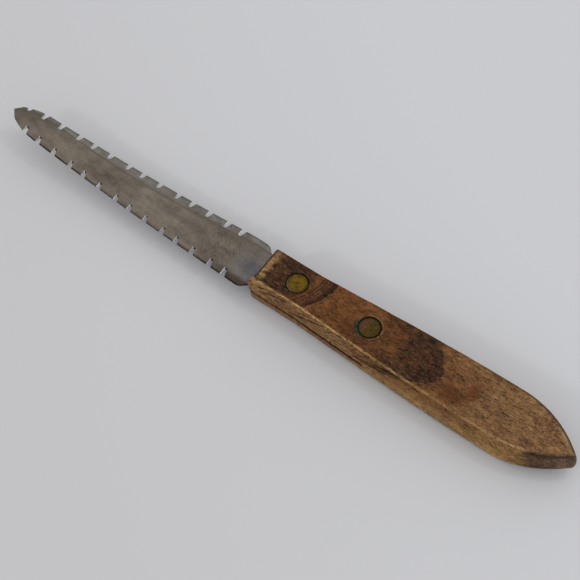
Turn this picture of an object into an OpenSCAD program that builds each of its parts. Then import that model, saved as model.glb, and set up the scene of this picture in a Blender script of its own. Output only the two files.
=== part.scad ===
// Grapefruit knife: a bent blade notched along both edges, its tang held in a saw cut of a
// one-piece hardwood handle by two flush brass rivets. Millimetres, +Z up. The knife lies on the
// lower flat face of its handle, with the blade tip towards -X and the butt towards +X. The
// origin is under the middle of the whole knife, on the surface that it lies on.

/* [Handle] */
// Length of the handle, from its front face to the tip of its butt, at the flat faces
handle_l = 102.7; // [85:0.5:120]
// Thickness of the handle between its two flat faces
handle_t = 11.5; // [9:0.1:14]
// Width across the flat faces at the front
front_w = 12; // [10.5:0.1:15]
// Width across the flat faces where the arched butt begins
rear_w = 16.9; // [13:0.1:20]
// Length at the front over which the width stays the same
front_run = 15.7; // [8:0.5:22]
// Length of the arched butt
arch_l = 21.5; // [15:0.5:26]
// Radius of the blunt tip of the butt, seen from above
nose_r = 0.5; // [0.4:0.1:3]
// How far the sides swell past the flat faces at half thickness
side_swell = 1.2; // [0:0.1:2]
// Rounding where the flat faces meet the sides
edge_r = 0.6; // [0.2:0.1:0.9]
// Rounding where the flat faces meet the front face
front_r = 1.5; // [0.5:0.1:2.5]
// Rounding of the two upright corners of the front face
corner_r = 0.5; // [0.3:0.1:2]
// Rounding of the lower edge round the butt, where it was sanded most
butt_r = 6; // [1:0.1:6.5]

/* [Saw cut for the tang] */
// How far the saw cut runs on behind the middle of the rear rivet
kerf_past = 4; // [3.7:0.1:12]
// Radius of the saw that made it, which leaves its end curved
saw_r = 60; // [55:1:100]
// Play between the saw cut and each face of the tang
kerf_play = 0.05; // [0.02:0.01:0.2]

/* [Blade] */
// Length of blade in front of the handle
blade_l = 91.8; // [75:0.1:110]
// Thickness of the steel
blade_t = 0.9; // [0.7:0.05:1.4]
// Width of the blade at its heel
heel_w = 16; // [14.5:0.1:20]
// Length from the handle to where the edges begin to taper
heel_l = 7.3; // [6.5:0.1:12]
// Angle between each tapered edge and the centre line, in degrees
taper_a = 2.6; // [2:0.1:3.2]
// Length at the tip over which the edges leave the taper
tip_l = 10.5; // [8:0.1:11.5]
// Radius of the arcs in which they leave it
tip_r = 20; // [17:0.5:30]
// Angle between each cut that makes the point and the centre line, in degrees
point_a = 50; // [42:0.5:60]
// Width of the bevel ground along each edge
bevel_w = 2.6; // [1.5:0.1:3.5]
// Thickness left at the very edge
edge_t = 0.4; // [0.3:0.05:0.6]
// Length from the handle over which the blade stays straight
bend_start = 23.3; // [10:0.5:40]
// Radius of the bend that lifts the tip
bend_r = 480; // [400:5:900]

/* [Tang] */
// Width of the tang
tang_w = 11.8; // [10:0.1:12.5]
// Gap between the end of the tang and the end of the saw cut
tang_gap = 0.6; // [0.5:0.1:1]
// Length of tang left bare between the handle and the shoulders
neck_l = 1.6; // [1:0.1:2]
// Radius in the corner where the tang meets a shoulder
neck_r = 1.2; // [0.5:0.1:1.5]
// Radius on the outer corner of a shoulder
shoulder_r = 2.6; // [1:0.1:3]

/* [Notches] */
// Distance from the handle to the first notch in the far edge
far_first = 13.5; // [12:0.1:18]
// Distance from the handle to the first notch in the near edge
near_first = 10.1; // [9.5:0.1:13]
// The notches were punched three at a time: step from one gang of three to the next
gang_feed = 5.1; // [4.5:0.1:7]
// Step from the first to the second notch of a gang, counted from the feed
gang_step_a = 6.45; // [5:0.05:7]
// Step from the second to the third notch of a gang
gang_step_b = 5.95; // [5:0.05:7]
// Width of a notch at its root
notch_w = 0.85; // [0.5:0.05:1.5]
// Depth of the first near notch, from the tapered edge
notch_deep = 2.35; // [2:0.05:2.6]
// Depth of the shallowest notches, from the tapered edge
notch_shallow = 1.65; // [1:0.05:1.9]
// Distance from the handle to the shallowest notches, on both sides of which they get deeper
notch_low = 52; // [45:1:60]
// Slant of the wall of a notch that faces the tip, in degrees
notch_slant = 19; // [0:1:30]
// Length at the tip that is left without notches
tip_plain = 2.5; // [2:0.1:8]

/* [Rivets] */
// Distance from the front face of the handle to the front rivet
front_rivet_x = 11.6; // [9:0.1:13]
// Distance between the two rivets
rivet_spacing = 24.6; // [17:0.1:30]
// Diameter of a rivet head
head_d = 6.2; // [5.5:0.1:8]
// Thickness of a rivet head
head_t = 1.4; // [1:0.1:2]
// Gap round a rivet head in its recess in the wood
head_gap = 0.2; // [0.05:0.05:0.4]
// Outer diameter of the tube of a rivet socket
tube_d = 4.2; // [3.8:0.1:5]
// Diameter of the post that is driven into the tube
post_d = 2.8; // [2.4:0.1:3.2]
// Play round the post, and round the tube in the wood and the tang
rivet_play = 0.03; // [0.02:0.01:0.1]
// Gap left at each end of the post and the tube once the rivet is closed
end_gap = 0.4; // [0.2:0.1:0.8]

/* [Hidden] */

mid_z = handle_t / 2;
rear_rivet_x = front_rivet_x + rivet_spacing;
kerf_t = blade_t + 2 * kerf_play;
kerf_l = rear_rivet_x + kerf_past;
tang_l = kerf_l - tang_gap;
// The middle of the knife from the tip of the blade to the swollen tip of the butt
mid_x = (handle_l + side_swell - blade_l) / 2;
// Margin by which a cutting tool reaches past what it cuts
over = 1;
// Facets of the bores, of the saw and of the long bend
bore_fn = 48;
head_fn = 64;
saw_fn = 360;
bend_fn = 1440;

// Arched butt: two arcs that leave the sides without a corner and run into the round nose
arch_x = handle_l - arch_l;
nose_x = handle_l - nose_r;
arch_r = (pow(nose_x - arch_x, 2) + pow(rear_w / 2, 2) - pow(nose_r, 2)) / (rear_w - 2 * nose_r);
arch_y = rear_w / 2 - arch_r;
// Least radius of the nose where a rounded edge cuts into it
nose_least = 0.3;
// How late along the arch the lower edge becomes as round as it is at the nose
butt_lag = 1.5;

// Steps of the handle's skin: corner, side, arch and nose, then from the lower face to the upper
corner_steps = 3;
side_steps = 13;
arch_steps = 10;
nose_steps = 4;
low_steps = 6;
swell_steps = 6;
top_steps = 4;
half_n = corner_steps + side_steps + arch_steps + nose_steps;
ring_n = 2 * half_n + 1;

// Half the width of the flat faces at a distance from the front
function half_w(x) =
    let (u = max(0, x - front_run) / (arch_x - front_run))
    front_w / 2 + (rear_w - front_w) / 2 * sin(90 * u);

// Swell of the side at a height
function swell(z) = side_swell * (1 - pow((z - mid_z) / mid_z, 2));

// How far an edge rounded to radius r has drawn in at a height h over its face
function ease(h, r) = h >= r ? 0 : r - sqrt(pow(r, 2) - pow(r - h, 2));

// The same at a height z of the handle, for its lower and its upper edge together
function eased(z, under_r, upper_r) = max(ease(z, under_r), ease(handle_t - z, upper_r));

// Radius of the lower edge on its way round the arch, from the side at 0 to the nose at 1
function low_r(u) = edge_r + (butt_r - edge_r) * pow(sin(90 * u), butt_lag);

// Point at an angle on a circle
function on_circle(centre, r, t) = centre + r * [cos(t), sin(t)];

// One half of the handle's outline at a height, from the front corner to the tip of the nose
function half_outline(z) =
    let (set_back = eased(z, front_r, front_r) + corner_r,
         side = swell(z) - eased(z, edge_r, edge_r),
         nose = swell(z) - eased(z, butt_r, edge_r),
         r = max(nose_least, nose_r + nose),
         x = arch_x + sqrt(pow(arch_r + nose - r, 2) - pow(arch_y, 2)),
         a = atan2(-arch_y, x - arch_x))
    concat(
        [for (i = [0 : corner_steps - 1])
            on_circle([set_back, half_w(0) + side - corner_r], corner_r, 180 - 90 * i / corner_steps)],
        [for (i = [0 : side_steps - 1])
            let (v = set_back + (arch_x - set_back) * i / side_steps)
            [v, half_w(v) + side]],
        [for (i = [0 : arch_steps - 1])
            let (u = i / arch_steps, d = swell(z) - eased(z, low_r(u), edge_r))
            on_circle([arch_x, arch_y], arch_r + d, 90 - (90 - a) * u)],
        [for (i = [0 : nose_steps])
            on_circle([x, 0], r, a * (1 - i / nose_steps))]);

// The whole outline at one height: the half, then its mirror image on the way back
function ring(z) =
    let (half = half_outline(z))
    concat([for (p = half) [p.x, p.y, z]],
           [for (i = [half_n - 1 : -1 : 0]) [half[i].x, -half[i].y, z]]);

// Heights of the outlines, closer together where an edge is rounded
levels = concat(
    [for (i = [0 : low_steps - 1]) butt_r * (1 - cos(90 * i / low_steps))],
    [for (i = [0 : swell_steps - 1]) butt_r + (handle_t - front_r - butt_r) * i / swell_steps],
    [for (i = [0 : top_steps]) handle_t - front_r * (1 - sin(90 * i / top_steps))]);

// Wooden body of the handle before it is sawn and drilled
module handle_blank() {
    last = len(levels) - 1;
    points = [for (z = levels) each ring(z)];
    walls = [for (j = [0 : last - 1], i = [0 : ring_n - 1])
        let (k = (i + 1) % ring_n, low = j * ring_n, high = low + ring_n)
        each [[low + i, low + k, high + k], [low + i, high + k, high + i]]];
    strips = [for (i = [0 : half_n - 2])
        let (a = ring_n - 1 - i, b = a - 1)
        each [[i, i + 1, b], [i, b, a]]];
    top = concat(strips, [[half_n - 1, half_n, half_n + 1]]);
    upper = last * ring_n;
    caps = concat([for (f = top) [f[0] + upper, f[1] + upper, f[2] + upper]],
                  [for (f = top) [f[2], f[1], f[0]]]);
    polyhedron(points, concat(walls, caps));
}

// Hole for a rivet: a bore right through, with a recess for the head in each flat face
module rivet_hole(x) {
    translate([x, 0, -over])
        cylinder(h = handle_t + 2 * over, d = tube_d + 2 * rivet_play, $fn = bore_fn);
    for (z = [-over, handle_t - head_t])
        translate([x, 0, z])
            cylinder(h = head_t + over, d = head_d + 2 * head_gap, $fn = head_fn);
}

// Puts what is drawn from the handle's front face into the knife's own frame
module in_frame() {
    translate([-mid_x, 0, 0]) children();
}

module handle() {
    color("sienna") in_frame() difference() {
        handle_blank();
        translate([kerf_l - saw_r, 0, mid_z])
            cylinder(h = kerf_t, r = saw_r, center = true, $fn = saw_fn);
        rivet_hole(front_rivet_x);
        rivet_hole(rear_rivet_x);
    }
}

// Blade outline, seen from above, with the handle's front face at x = 0

// Half width that the tapered edge has, or would have, at a distance from the handle
function edge_y(x) = heel_w / 2 - (x - heel_l) * tan(taper_a);

// Centre of the arc that leaves the tapered edge, and how far the arc turns before it meets the
// straight cut to the point
tip_centre = [tip_l - blade_l + tip_r * sin(taper_a),
              edge_y(blade_l - tip_l) - tip_r * cos(taper_a)];
point_away = (tip_centre.x + blade_l) * sin(point_a) - tip_centre.y * cos(point_a);
tip_turn = point_a - acos(point_away / tip_r);

// Corners of the 45 degree shoulder line and centres of its two arcs
shoulder_x = -neck_l - (heel_w - tang_w) / 2;
neck_centre = [neck_r * tan(22.5) - neck_l, tang_w / 2 + neck_r];
shoulder_centre = [shoulder_x - shoulder_r * tan(22.5), heel_w / 2 - shoulder_r];

// Points of an arc, ends included
function arc(centre, r, from, to, steps) = [for (i = [0 : steps])
    let (t = from + (to - from) * i / steps)
    centre + r * [cos(t), sin(t)]];

half_blade = concat(
    [[tang_l, tang_w / 2]],
    arc(neck_centre, neck_r, 270, 225, 4),
    arc(shoulder_centre, shoulder_r, 45, 90, 5),
    [[-heel_l, heel_w / 2]],
    arc(tip_centre, tip_r, 90 + taper_a, 90 + tip_turn, 10),
    [[-blade_l, 0]]);

// Distance from the handle to a notch, given the first one on its edge
function notch_at(first, i) =
    let (gang = gang_feed + gang_step_a + gang_step_b, k = i % 3)
    first + gang * floor(i / 3) + (k > 0 ? gang_feed : 0) + (k > 1 ? gang_step_a : 0);

// More notches than the longest blade holds
most_notches = 30;

// Notches in one edge: a square wall towards the tip and a slanted wall towards the handle
module notch_row(first) {
    for (i = [0 : most_notches]) {
        x = notch_at(first, i);
        depth = notch_shallow
            + (notch_deep - notch_shallow) * pow((x - notch_low) / (near_first - notch_low), 2);
        flare = (depth + over) * tan(notch_slant);
        if (x < blade_l - tip_plain)
            translate([-x, edge_y(x)]) rotate(taper_a)
                polygon([[0, -depth], [notch_w, -depth], [notch_w + flare, over], [0, over]]);
    }
}

module blade_outline() {
    difference() {
        polygon(concat(half_blade,
            [for (i = [len(half_blade) - 2 : -1 : 0]) [half_blade[i].x, -half_blade[i].y]]));
        notch_row(far_first);
        mirror([0, 1]) notch_row(near_first);
    }
}

// Side views of the blade, straight from the tang and then bent up, with the middle of the
// steel at zero. They reach past the tip, and higher than the tip rises.
bend_l = blade_l - bend_start + over;
tall = bend_r - sqrt(pow(bend_r, 2) - pow(bend_l, 2)) + 4 * over;

// Everything above a line that lies h over the middle of the steel
module above(h) {
    translate([-bend_start, h]) square([bend_start, tall]);
    intersection() {
        translate([-bend_start, bend_r]) circle(bend_r - h, $fn = bend_fn);
        translate([-bend_start - bend_l, h - over]) square([bend_l, tall + over]);
    }
}

// Everything below a line that lies h under the middle of the steel
module below(h) {
    translate([-bend_start, -h - tall]) square([bend_start, tall]);
    difference() {
        translate([-bend_start - bend_l, -h - tall]) square([bend_l, 2 * tall]);
        translate([-bend_start, bend_r]) circle(bend_r + h, $fn = bend_fn);
    }
}

// The steel itself, from the tang to past the tip
module strip() {
    translate([-bend_start, -blade_t / 2]) square([bend_start + tang_l + over, blade_t]);
    intersection() {
        translate([-bend_start, bend_r]) difference() {
            circle(bend_r + blade_t / 2, $fn = bend_fn);
            circle(bend_r - blade_t / 2, $fn = bend_fn);
        }
        translate([-bend_start - bend_l, -tall]) square([bend_l, 2 * tall]);
    }
}

// Draws a side view out across the blade
module across(w) {
    rotate([90, 0, 0]) linear_extrude(height = w, center = true) children();
}

// What the grinding of one edge takes away, from both faces
module bevel() {
    slope = atan((blade_t - edge_t) / 2 / bevel_w);
    translate([-heel_l, heel_w / 2 - bevel_w, 0]) rotate([0, 0, taper_a]) translate([heel_l, 0, 0]) {
        translate([0, 0, blade_t / 2]) rotate([-slope, 0, 0])
            translate([0, 0, -blade_t / 2]) across(heel_w) above(blade_t / 2);
        translate([0, 0, -blade_t / 2]) rotate([slope, 0, 0])
            translate([0, 0, blade_t / 2]) across(heel_w) below(blade_t / 2);
    }
}

module blade() {
    color("slategray") in_frame() translate([0, 0, mid_z]) difference() {
        intersection() {
            across(heel_w + over) strip();
            translate([0, 0, -tall]) linear_extrude(height = 2 * tall) blade_outline();
        }
        bevel();
        mirror([0, 1, 0]) bevel();
        for (x = [front_rivet_x, rear_rivet_x])
            translate([x, 0, -blade_t])
                cylinder(h = 2 * blade_t, d = tube_d + 2 * rivet_play, $fn = bore_fn);
    }
}

// Solid half of a rivet: its head is flush with the upper face
module rivet_post(x) {
    color("goldenrod") in_frame() translate([x, 0, 0]) {
        translate([0, 0, handle_t - head_t]) cylinder(h = head_t, d = head_d, $fn = head_fn);
        translate([0, 0, head_t + end_gap])
            cylinder(h = handle_t - 2 * head_t - end_gap, d = post_d, $fn = bore_fn);
    }
}

// Tubular half of a rivet: its head is flush with the lower face
module rivet_socket(x) {
    color("darkgoldenrod") in_frame() translate([x, 0, 0]) difference() {
        union() {
            cylinder(h = head_t, d = head_d, $fn = head_fn);
            cylinder(h = handle_t - head_t - end_gap, d = tube_d, $fn = bore_fn);
        }
        translate([0, 0, head_t])
            cylinder(h = handle_t, d = post_d + 2 * rivet_play, $fn = bore_fn);
    }
}

module front_rivet_post() { rivet_post(front_rivet_x); }
module front_rivet_socket() { rivet_socket(front_rivet_x); }
module rear_rivet_post() { rivet_post(rear_rivet_x); }
module rear_rivet_socket() { rivet_socket(rear_rivet_x); }

handle();
blade();
front_rivet_post();
front_rivet_socket();
rear_rivet_post();
rear_rivet_socket();
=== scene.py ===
import math
from functools import partialmethod

import bmesh
import bpy
from bpy.props import FloatProperty, FloatVectorProperty, IntProperty, PointerProperty
from mathutils import Matrix, Vector, noise


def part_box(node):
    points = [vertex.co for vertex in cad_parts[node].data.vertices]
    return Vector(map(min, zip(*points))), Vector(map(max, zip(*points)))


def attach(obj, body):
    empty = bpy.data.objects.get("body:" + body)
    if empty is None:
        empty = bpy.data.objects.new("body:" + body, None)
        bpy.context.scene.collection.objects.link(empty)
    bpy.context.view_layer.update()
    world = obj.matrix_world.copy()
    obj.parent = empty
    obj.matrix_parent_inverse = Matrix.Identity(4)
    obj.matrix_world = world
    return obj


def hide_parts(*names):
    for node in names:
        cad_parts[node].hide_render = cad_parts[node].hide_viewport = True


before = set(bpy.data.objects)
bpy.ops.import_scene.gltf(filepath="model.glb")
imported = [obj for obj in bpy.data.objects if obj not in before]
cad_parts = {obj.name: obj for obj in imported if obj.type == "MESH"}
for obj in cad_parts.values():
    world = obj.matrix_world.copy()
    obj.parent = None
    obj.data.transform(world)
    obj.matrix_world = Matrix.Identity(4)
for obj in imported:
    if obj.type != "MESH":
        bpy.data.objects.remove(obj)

bl_info = {
    "name": "Grapefruit knife",
    "version": (1, 0, 0),
    "blender": (4, 5, 0),
    "location": "3D View > Sidebar > Knife",
    "description": "Makes an old grapefruit knife: notched blade, hardwood handle and brass rivets",
    "category": "Object",
}

# The knife is worked out in millimetres and turned into metres at the end
MM = 0.001

# Points this close are one point, and edges that turn more than this stay sharp
WELD = 0.004
SHARP = math.radians(38)

# What the frame fixes: where the handle's faces, the tip and the end of the tang are
HANDLE_LOW, HANDLE_HIGH = (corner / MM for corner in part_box("handle"))
BLADE_LOW, BLADE_HIGH = (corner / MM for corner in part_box("blade"))
FRONT_X = HANDLE_LOW.x
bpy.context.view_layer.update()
BODY = "root"

# How far the handle's sides stand out at half thickness, round the tip of its butt too
SWELL = 1.2


def linear(text):
    """Turns an sRGB hex colour into the linear values that Blender works in"""
    parts = [int(text[i:i + 2], 16) / 255 for i in (1, 3, 5)]
    return tuple(c / 12.92 if c <= 0.04045 else ((c + 0.055) / 1.055) ** 2.4 for c in parts)


def length(name, mm, description):
    """A size property, given in millimetres and kept in metres"""
    return FloatProperty(name=name, description=description, default=mm * MM, min=0.0,
                         subtype="DISTANCE", unit="LENGTH", precision=5)


def angle(name, degrees, description):
    """An angle property, given in degrees"""
    return FloatProperty(name=name, description=description, default=math.radians(degrees),
                         subtype="ANGLE", unit="ROTATION")


def colour(name, text, description):
    """A colour property, given as sRGB hex"""
    return FloatVectorProperty(name=name, description=description, default=linear(text), size=3,
                               min=0.0, max=1.0, subtype="COLOR")


class HandleSizes(bpy.types.PropertyGroup):
    """The one-piece wooden handle"""

    swell: length("Side swell", SWELL, "How far the sides stand out at half thickness")
    total: length("Length", HANDLE_HIGH.x - FRONT_X - SWELL,
                  "From the front face to the tip of the butt, at the flat faces")
    thickness: length("Thickness", HANDLE_HIGH.z, "Between the two flat faces")
    front_width: length("Front width", 12.0, "Across the flat faces at the front")
    rear_width: length("Rear width", 16.9, "Across the flat faces where the butt begins")
    front_run: length("Parallel front", 15.7, "Length over which the width stays the same")
    arch: length("Arched butt", 21.5, "Length of the arched butt")
    nose: length("Nose radius", 0.5, "Blunt tip of the butt, seen from above")
    edge: length("Edge rounding", 0.6, "Where the flat faces meet the sides")
    front_edge: length("Front edge rounding", 1.5, "Where the flat faces meet the front face")
    corner: length("Corner rounding", 0.5, "The two upright corners of the front face")
    butt_edge: length("Butt edge rounding", 6.0, "The lower edge round the butt, sanded most")
    saw_depth: length("Saw cut depth", 40.2, "From the front face to the end of the saw cut")
    saw_radius: length("Saw radius", 60.0, "The saw that left the curved end of the cut")
    saw_width: length("Saw cut width", 1.0, "The thickness of the steel and its play")
    wear: length("Wear", 0.12, "The most that use has taken off the faces and the edges")
    splay: length("Splay", 0.75, "How far the near front corner has been pushed forward")


class BladeSizes(bpy.types.PropertyGroup):
    """The bent blade with its tang"""

    reach: length("Reach", FRONT_X - BLADE_LOW.x, "Blade in front of the handle")
    tang: length("Tang length", BLADE_HIGH.x - FRONT_X, "Steel inside the handle")
    steel: length("Thickness", 0.9, "Thickness of the steel")
    heel_width: length("Heel width", 16.0, "Across the heel")
    heel: length("Heel length", 7.3, "From the handle to where the edges begin to taper")
    taper: angle("Taper", 2.6, "Between each tapered edge and the middle line")
    tip: length("Tip length", 10.5, "Over which the edges leave the taper")
    tip_radius: length("Tip radius", 20.0, "Of the arcs in which they leave it")
    point: angle("Point", 50.0, "Between each cut that makes the point and the middle line")
    bevel: length("Bevel width", 2.15, "The bevel at the heel")
    bevel_bulge: length("Wider bevel", 0.95, "How much wider the bevel is in the middle")
    edge: length("Edge thickness", 0.4, "Steel left at the very edge")
    straight: length("Straight part", 23.3, "From the handle to where the bend begins")
    bend: length("Bend radius", 480.0, "The bend that lifts the tip")
    sweep: length("Sideways bend", 0.4, "How far use has bent the blade to the far side")
    tang_width: length("Tang width", 11.8, "Across the tang")
    neck: length("Neck", 1.6, "Bare tang between the handle and the shoulders")
    neck_radius: length("Neck radius", 1.2, "In the corner of tang and shoulder")
    shoulder_radius: length("Shoulder radius", 2.6, "On the outer corner of a shoulder")


class NotchSizes(bpy.types.PropertyGroup):
    """The notches, punched three at a time along both edges"""

    far_first: length("First far notch", 13.5, "From the handle")
    near_first: length("First near notch", 10.1, "From the handle")
    feed: length("Feed", 5.1, "From one gang of three to the next")
    step_a: length("First step", 6.45, "From the first to the second notch of a gang")
    step_b: length("Second step", 5.95, "From the second to the third notch of a gang")
    root: length("Root width", 0.85, "Width of a notch at its root")
    deep: length("Depth at the heel", 2.35, "Depth of the first near notch")
    shallow: length("Least depth", 1.65, "Depth of the shallowest notches")
    low: length("Shallowest", 52.0, "Distance from the handle to the shallowest notches")
    slant: angle("Slant", 19.0, "Of the wall that faces the tip")
    worn: length("Worn corners", 0.2, "Rounding of the teeth at their corners")
    lean: length("Lean", 0.22, "How much wider a notch is on the upper side of the steel")
    count: IntProperty(name="Notches", description="Notches in one edge", default=14, min=1)


class RivetSizes(bpy.types.PropertyGroup):
    """The two-piece brass rivets"""

    head: length("Head diameter", 6.2, "Diameter of a head")
    head_thickness: length("Head thickness", 1.4, "Thickness of a head")
    rim: length("Rim rounding", 0.18, "Round the rim of a head")
    gap: length("Gap", 0.2, "Round a head in its recess in the wood")
    tube: length("Tube diameter", 4.2, "Outside of the tubular half")
    post: length("Post diameter", 2.8, "The solid half, driven into the tube")
    play: length("Play", 0.03, "Round the post and the tube")
    end_gap: length("End gap", 0.4, "Left past each end once the rivet is closed")
    dimple: length("Dimples", 0.05, "How uneven the heads are")
    sides: IntProperty(name="Sides", description="Sides of a rivet", default=96, min=12)


class FinishColours(bpy.types.PropertyGroup):
    """Colours, as they look under plain white light"""

    tan: colour("Tan wood", "#7b5b3b", "Weathered wood of the rear half")
    tan_dark: colour("Tan streaks", "#604228", "Darker streaks in the tan wood")
    side: colour("Side wood", "#97723f", "Paler wood of the near side")
    warm: colour("Red-brown wood", "#653e1d", "Warm wood in front of the dark patch")
    russet: colour("Russet wood", "#542c10", "The reddest patches")
    # The dark heartwood colour also paints shade inside the splits
    heart: colour("Dark heartwood", "#2c1a0e", "The dark figure, and inside the splits")
    butt: colour("Butt end", "#4a3322", "End grain, darkened by water and hands")
    # Worn bare wood, and a painted highlight along the near top edge
    dust_and_bounce_light: colour("Dusty wood", "#9a8878", "Pale dirt low on the sides")
    # Also painted light bounced up from the table, low on the sides
    bare: colour("Worn wood", "#967851", "Edges that are worn bare")
    sawn: colour("Sawn wood", "#6a4222", "Walls of the saw cut and the bores")
    # Grime, and painted shade in the blade's walls, under the saw cut and on the far top edge
    grime: colour("Grime", "#1a110b", "In the pores and round the rivets")
    steel: colour("Steel", "#7a7166", "Grey-brown patina of carbon steel")
    steel_cool: colour("Greyer steel", "#787671", "The far bevel")
    heel: colour("Heel steel", "#646164", "Bluish steel at the heel")
    stain: colour("Stain", "#463e36", "Spots and scratches filled with patina")
    # Painted glint: the bare steel walls of the notches that face the handle
    bright: colour("Bright steel", "#f0eeea", "Bare steel in the walls of the notches")
    brass: colour("Brass", "#6b5411", "Dull yellow brass")
    tarnish: colour("Tarnish", "#3a2c10", "Dark olive tarnish")
    copper: colour("Coppery brass", "#5e3a2c", "Where the zinc has gone")
    verdigris: colour("Verdigris", "#1f3d2b", "Green corrosion round a rivet")
    # A painted highlight on the rim of the front rivet's head
    rim_highlight: colour("Bright rim", "#8c7a56", "Where a cloth still reaches the rim of a head")
    floor: colour("Floor", "#c3c3c6", "Pale table top, on the near side")
    floor_far: colour("Far floor", "#cacbce", "The same, a little lighter on the far side")


class StageSettings(bpy.types.PropertyGroup):
    """Camera and light"""

    azimuth: angle("Azimuth", 36.142, "Of the camera, from straight in front")
    elevation: angle("Elevation", 60.394, "Of the camera above the table")
    roll: angle("Roll", 0.741, "Of the camera")
    distance: length("Distance", 575.4, "From the camera to what it aims at")
    lens: FloatProperty(name="Lens", description="Focal length in millimetres", default=124.14)
    ambient: FloatProperty(name="Ambient", description="Light from all round", default=0.87)
    near_lamp: FloatProperty(name="Near lamp", description="Low lamp on the near side, in watts",
                             default=2.3)
    far_lamp: FloatProperty(name="Far lamp", description="High lamp on the far side, in watts",
                            default=0.8)


class Sizes:
    """A property group's lengths in millimetres, and its angles and counts as they are. Below, s
    is the handle's, b the blade's, n the notches' and r the rivets'."""

    def __init__(self, group):
        for name in type(group).__annotations__:
            value = getattr(group, name)
            unit = group.bl_rna.properties[name].unit
            setattr(self, name, value / MM if unit == "LENGTH" else value)


# Building blocks of the shapes and of the node trees

def add(tree, kind, inputs=None, **settings):
    """Adds a node with its settings. An input is a plain value, or what it is linked to: a socket
    or a Number."""
    node = tree.nodes.new(kind)
    for name, value in settings.items():
        setattr(node, name, value)
    for key, value in (inputs or {}).items():
        source = value.socket if isinstance(value, Number) else value
        if isinstance(source, bpy.types.NodeSocket):
            tree.links.new(source, node.inputs[key])
        else:
            node.inputs[key].default_value = source
    return node


class Number:
    """A number in a node tree. Reckoning with it in Python adds the nodes that reckon the same."""

    def __init__(self, tree, socket):
        self.tree = tree
        self.socket = socket

    def after(self, operation, other=0.0):
        """What an operation makes of it, with the other number if the operation takes two"""
        node = add(self.tree, "ShaderNodeMath", {0: self, 1: other}, operation=operation)
        return Number(self.tree, node.outputs[0])

    __add__ = partialmethod(after, "ADD")
    __sub__ = partialmethod(after, "SUBTRACT")
    __mul__ = partialmethod(after, "MULTIPLY")
    __truediv__ = partialmethod(after, "DIVIDE")
    __gt__ = partialmethod(after, "GREATER_THAN")


def mesh_from(name, bm):
    """Turns a bmesh in millimetres into a mesh in metres"""
    bmesh.ops.scale(bm, vec=(MM, MM, MM), verts=bm.verts)
    mesh = bpy.data.meshes.new(name)
    bm.to_mesh(mesh)
    bm.free()
    return mesh


def tidy(bm):
    """Closes seams and poles, and turns every face outwards"""
    bmesh.ops.remove_doubles(bm, verts=bm.verts, dist=WELD)
    bmesh.ops.dissolve_degenerate(bm, edges=bm.edges, dist=WELD / 4)
    bmesh.ops.recalc_face_normals(bm, faces=bm.faces)


def evaluated_mesh(piece):
    """What a piece becomes once its modifiers have run, as a plain mesh"""
    graph = bpy.context.evaluated_depsgraph_get()
    return bpy.data.meshes.new_from_object(piece.evaluated_get(graph), depsgraph=graph)


def grown(tree, values):
    """Runs a node tree with these named inputs and returns its result as a plain mesh"""
    host = bpy.data.objects.new(tree.name, bpy.data.meshes.new(tree.name))
    bpy.context.scene.collection.objects.link(host)
    modifier = host.modifiers.new(tree.name, "NODES")
    modifier.node_group = tree
    for item in tree.interface.items_tree:
        if item.in_out == "INPUT" and item.name in values:
            modifier[item.identifier] = values[item.name]
    mesh = evaluated_mesh(host)
    bpy.data.objects.remove(host)
    if not mesh.polygons:
        raise RuntimeError(f"{tree.name} made no faces")
    return mesh


def cut(mesh, cutter):
    """The mesh with the cutter's volume taken away"""
    body = bpy.data.objects.new("cut_body", mesh)
    tool = bpy.data.objects.new("cut_tool", cutter)
    for piece in (body, tool):
        bpy.context.scene.collection.objects.link(piece)
    modifier = body.modifiers.new("Cut", "BOOLEAN")
    modifier.operation = "DIFFERENCE"
    modifier.solver = "MANIFOLD"
    modifier.object = tool
    result = evaluated_mesh(body)
    before, after = len(mesh.polygons), len(result.polygons)
    if after == before or after < before / 2:
        raise RuntimeError(f"{cutter.name} cut nothing away, or nearly everything")
    for piece in (body, tool):
        bpy.data.objects.remove(piece)
    return result


def finish_piece(name, mesh, material, node):
    """Makes the mesh one smooth piece that stands for a node of the frame"""
    mesh.name = name
    mesh.materials.clear()
    mesh.materials.append(material)
    mesh.shade_smooth()
    mesh.set_sharp_from_angle(angle=SHARP)
    piece = bpy.data.objects.new(name, mesh)
    bpy.context.scene.collection.objects.link(piece)
    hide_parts(node)
    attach(piece, BODY)


def turned(bm, profile, sides, centre):
    """Adds a turned solid from its (radius, height) points"""
    rings = []
    for radius, height in profile:
        turns = (2 * math.pi * i / sides for i in range(sides))
        rings.append([bm.verts.new(centre + Vector((radius * math.cos(t), radius * math.sin(t),
                                                    height))) for t in turns])
    for low, high in zip(rings, rings[1:]):
        for i in range(sides):
            k = (i + 1) % sides
            bm.faces.new((low[i], low[k], high[k], high[i]))


def write_field(mesh, name, values, domain="POINT"):
    """Stores one number per vertex, or per face, for a material to read"""
    mesh.attributes.new(name, "FLOAT", domain).data.foreach_set("value", values)


def ramp(t, start, end):
    """0 before start, 1 after end, and a smooth step between"""
    u = min(max((t - start) / (end - start), 0.0), 1.0)
    return u * u * (3 - 2 * u)


def blot(x, y, middle, radii):
    """1 in the middle of an oval patch, fading to 0 at its rim"""
    return 1 - ramp(math.hypot((x - middle[0]) / radii[0], (y - middle[1]) / radii[1]), 0.2, 1.0)


def rivet_places():
    """The middles of the two rivets, on the table"""
    places = []
    for node in ("front_rivet_post", "rear_rivet_post"):
        low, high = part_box(node)
        middle = (low + high) / 2 / MM
        places.append(Vector((middle.x, middle.y, 0)))
    return places


# Building blocks of the materials

# Sockets of a Mix node that mixes colours: its factor, its two colours and its result
FACTOR, UNDER, OVER, MIXED = 0, 6, 7, 2


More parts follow.
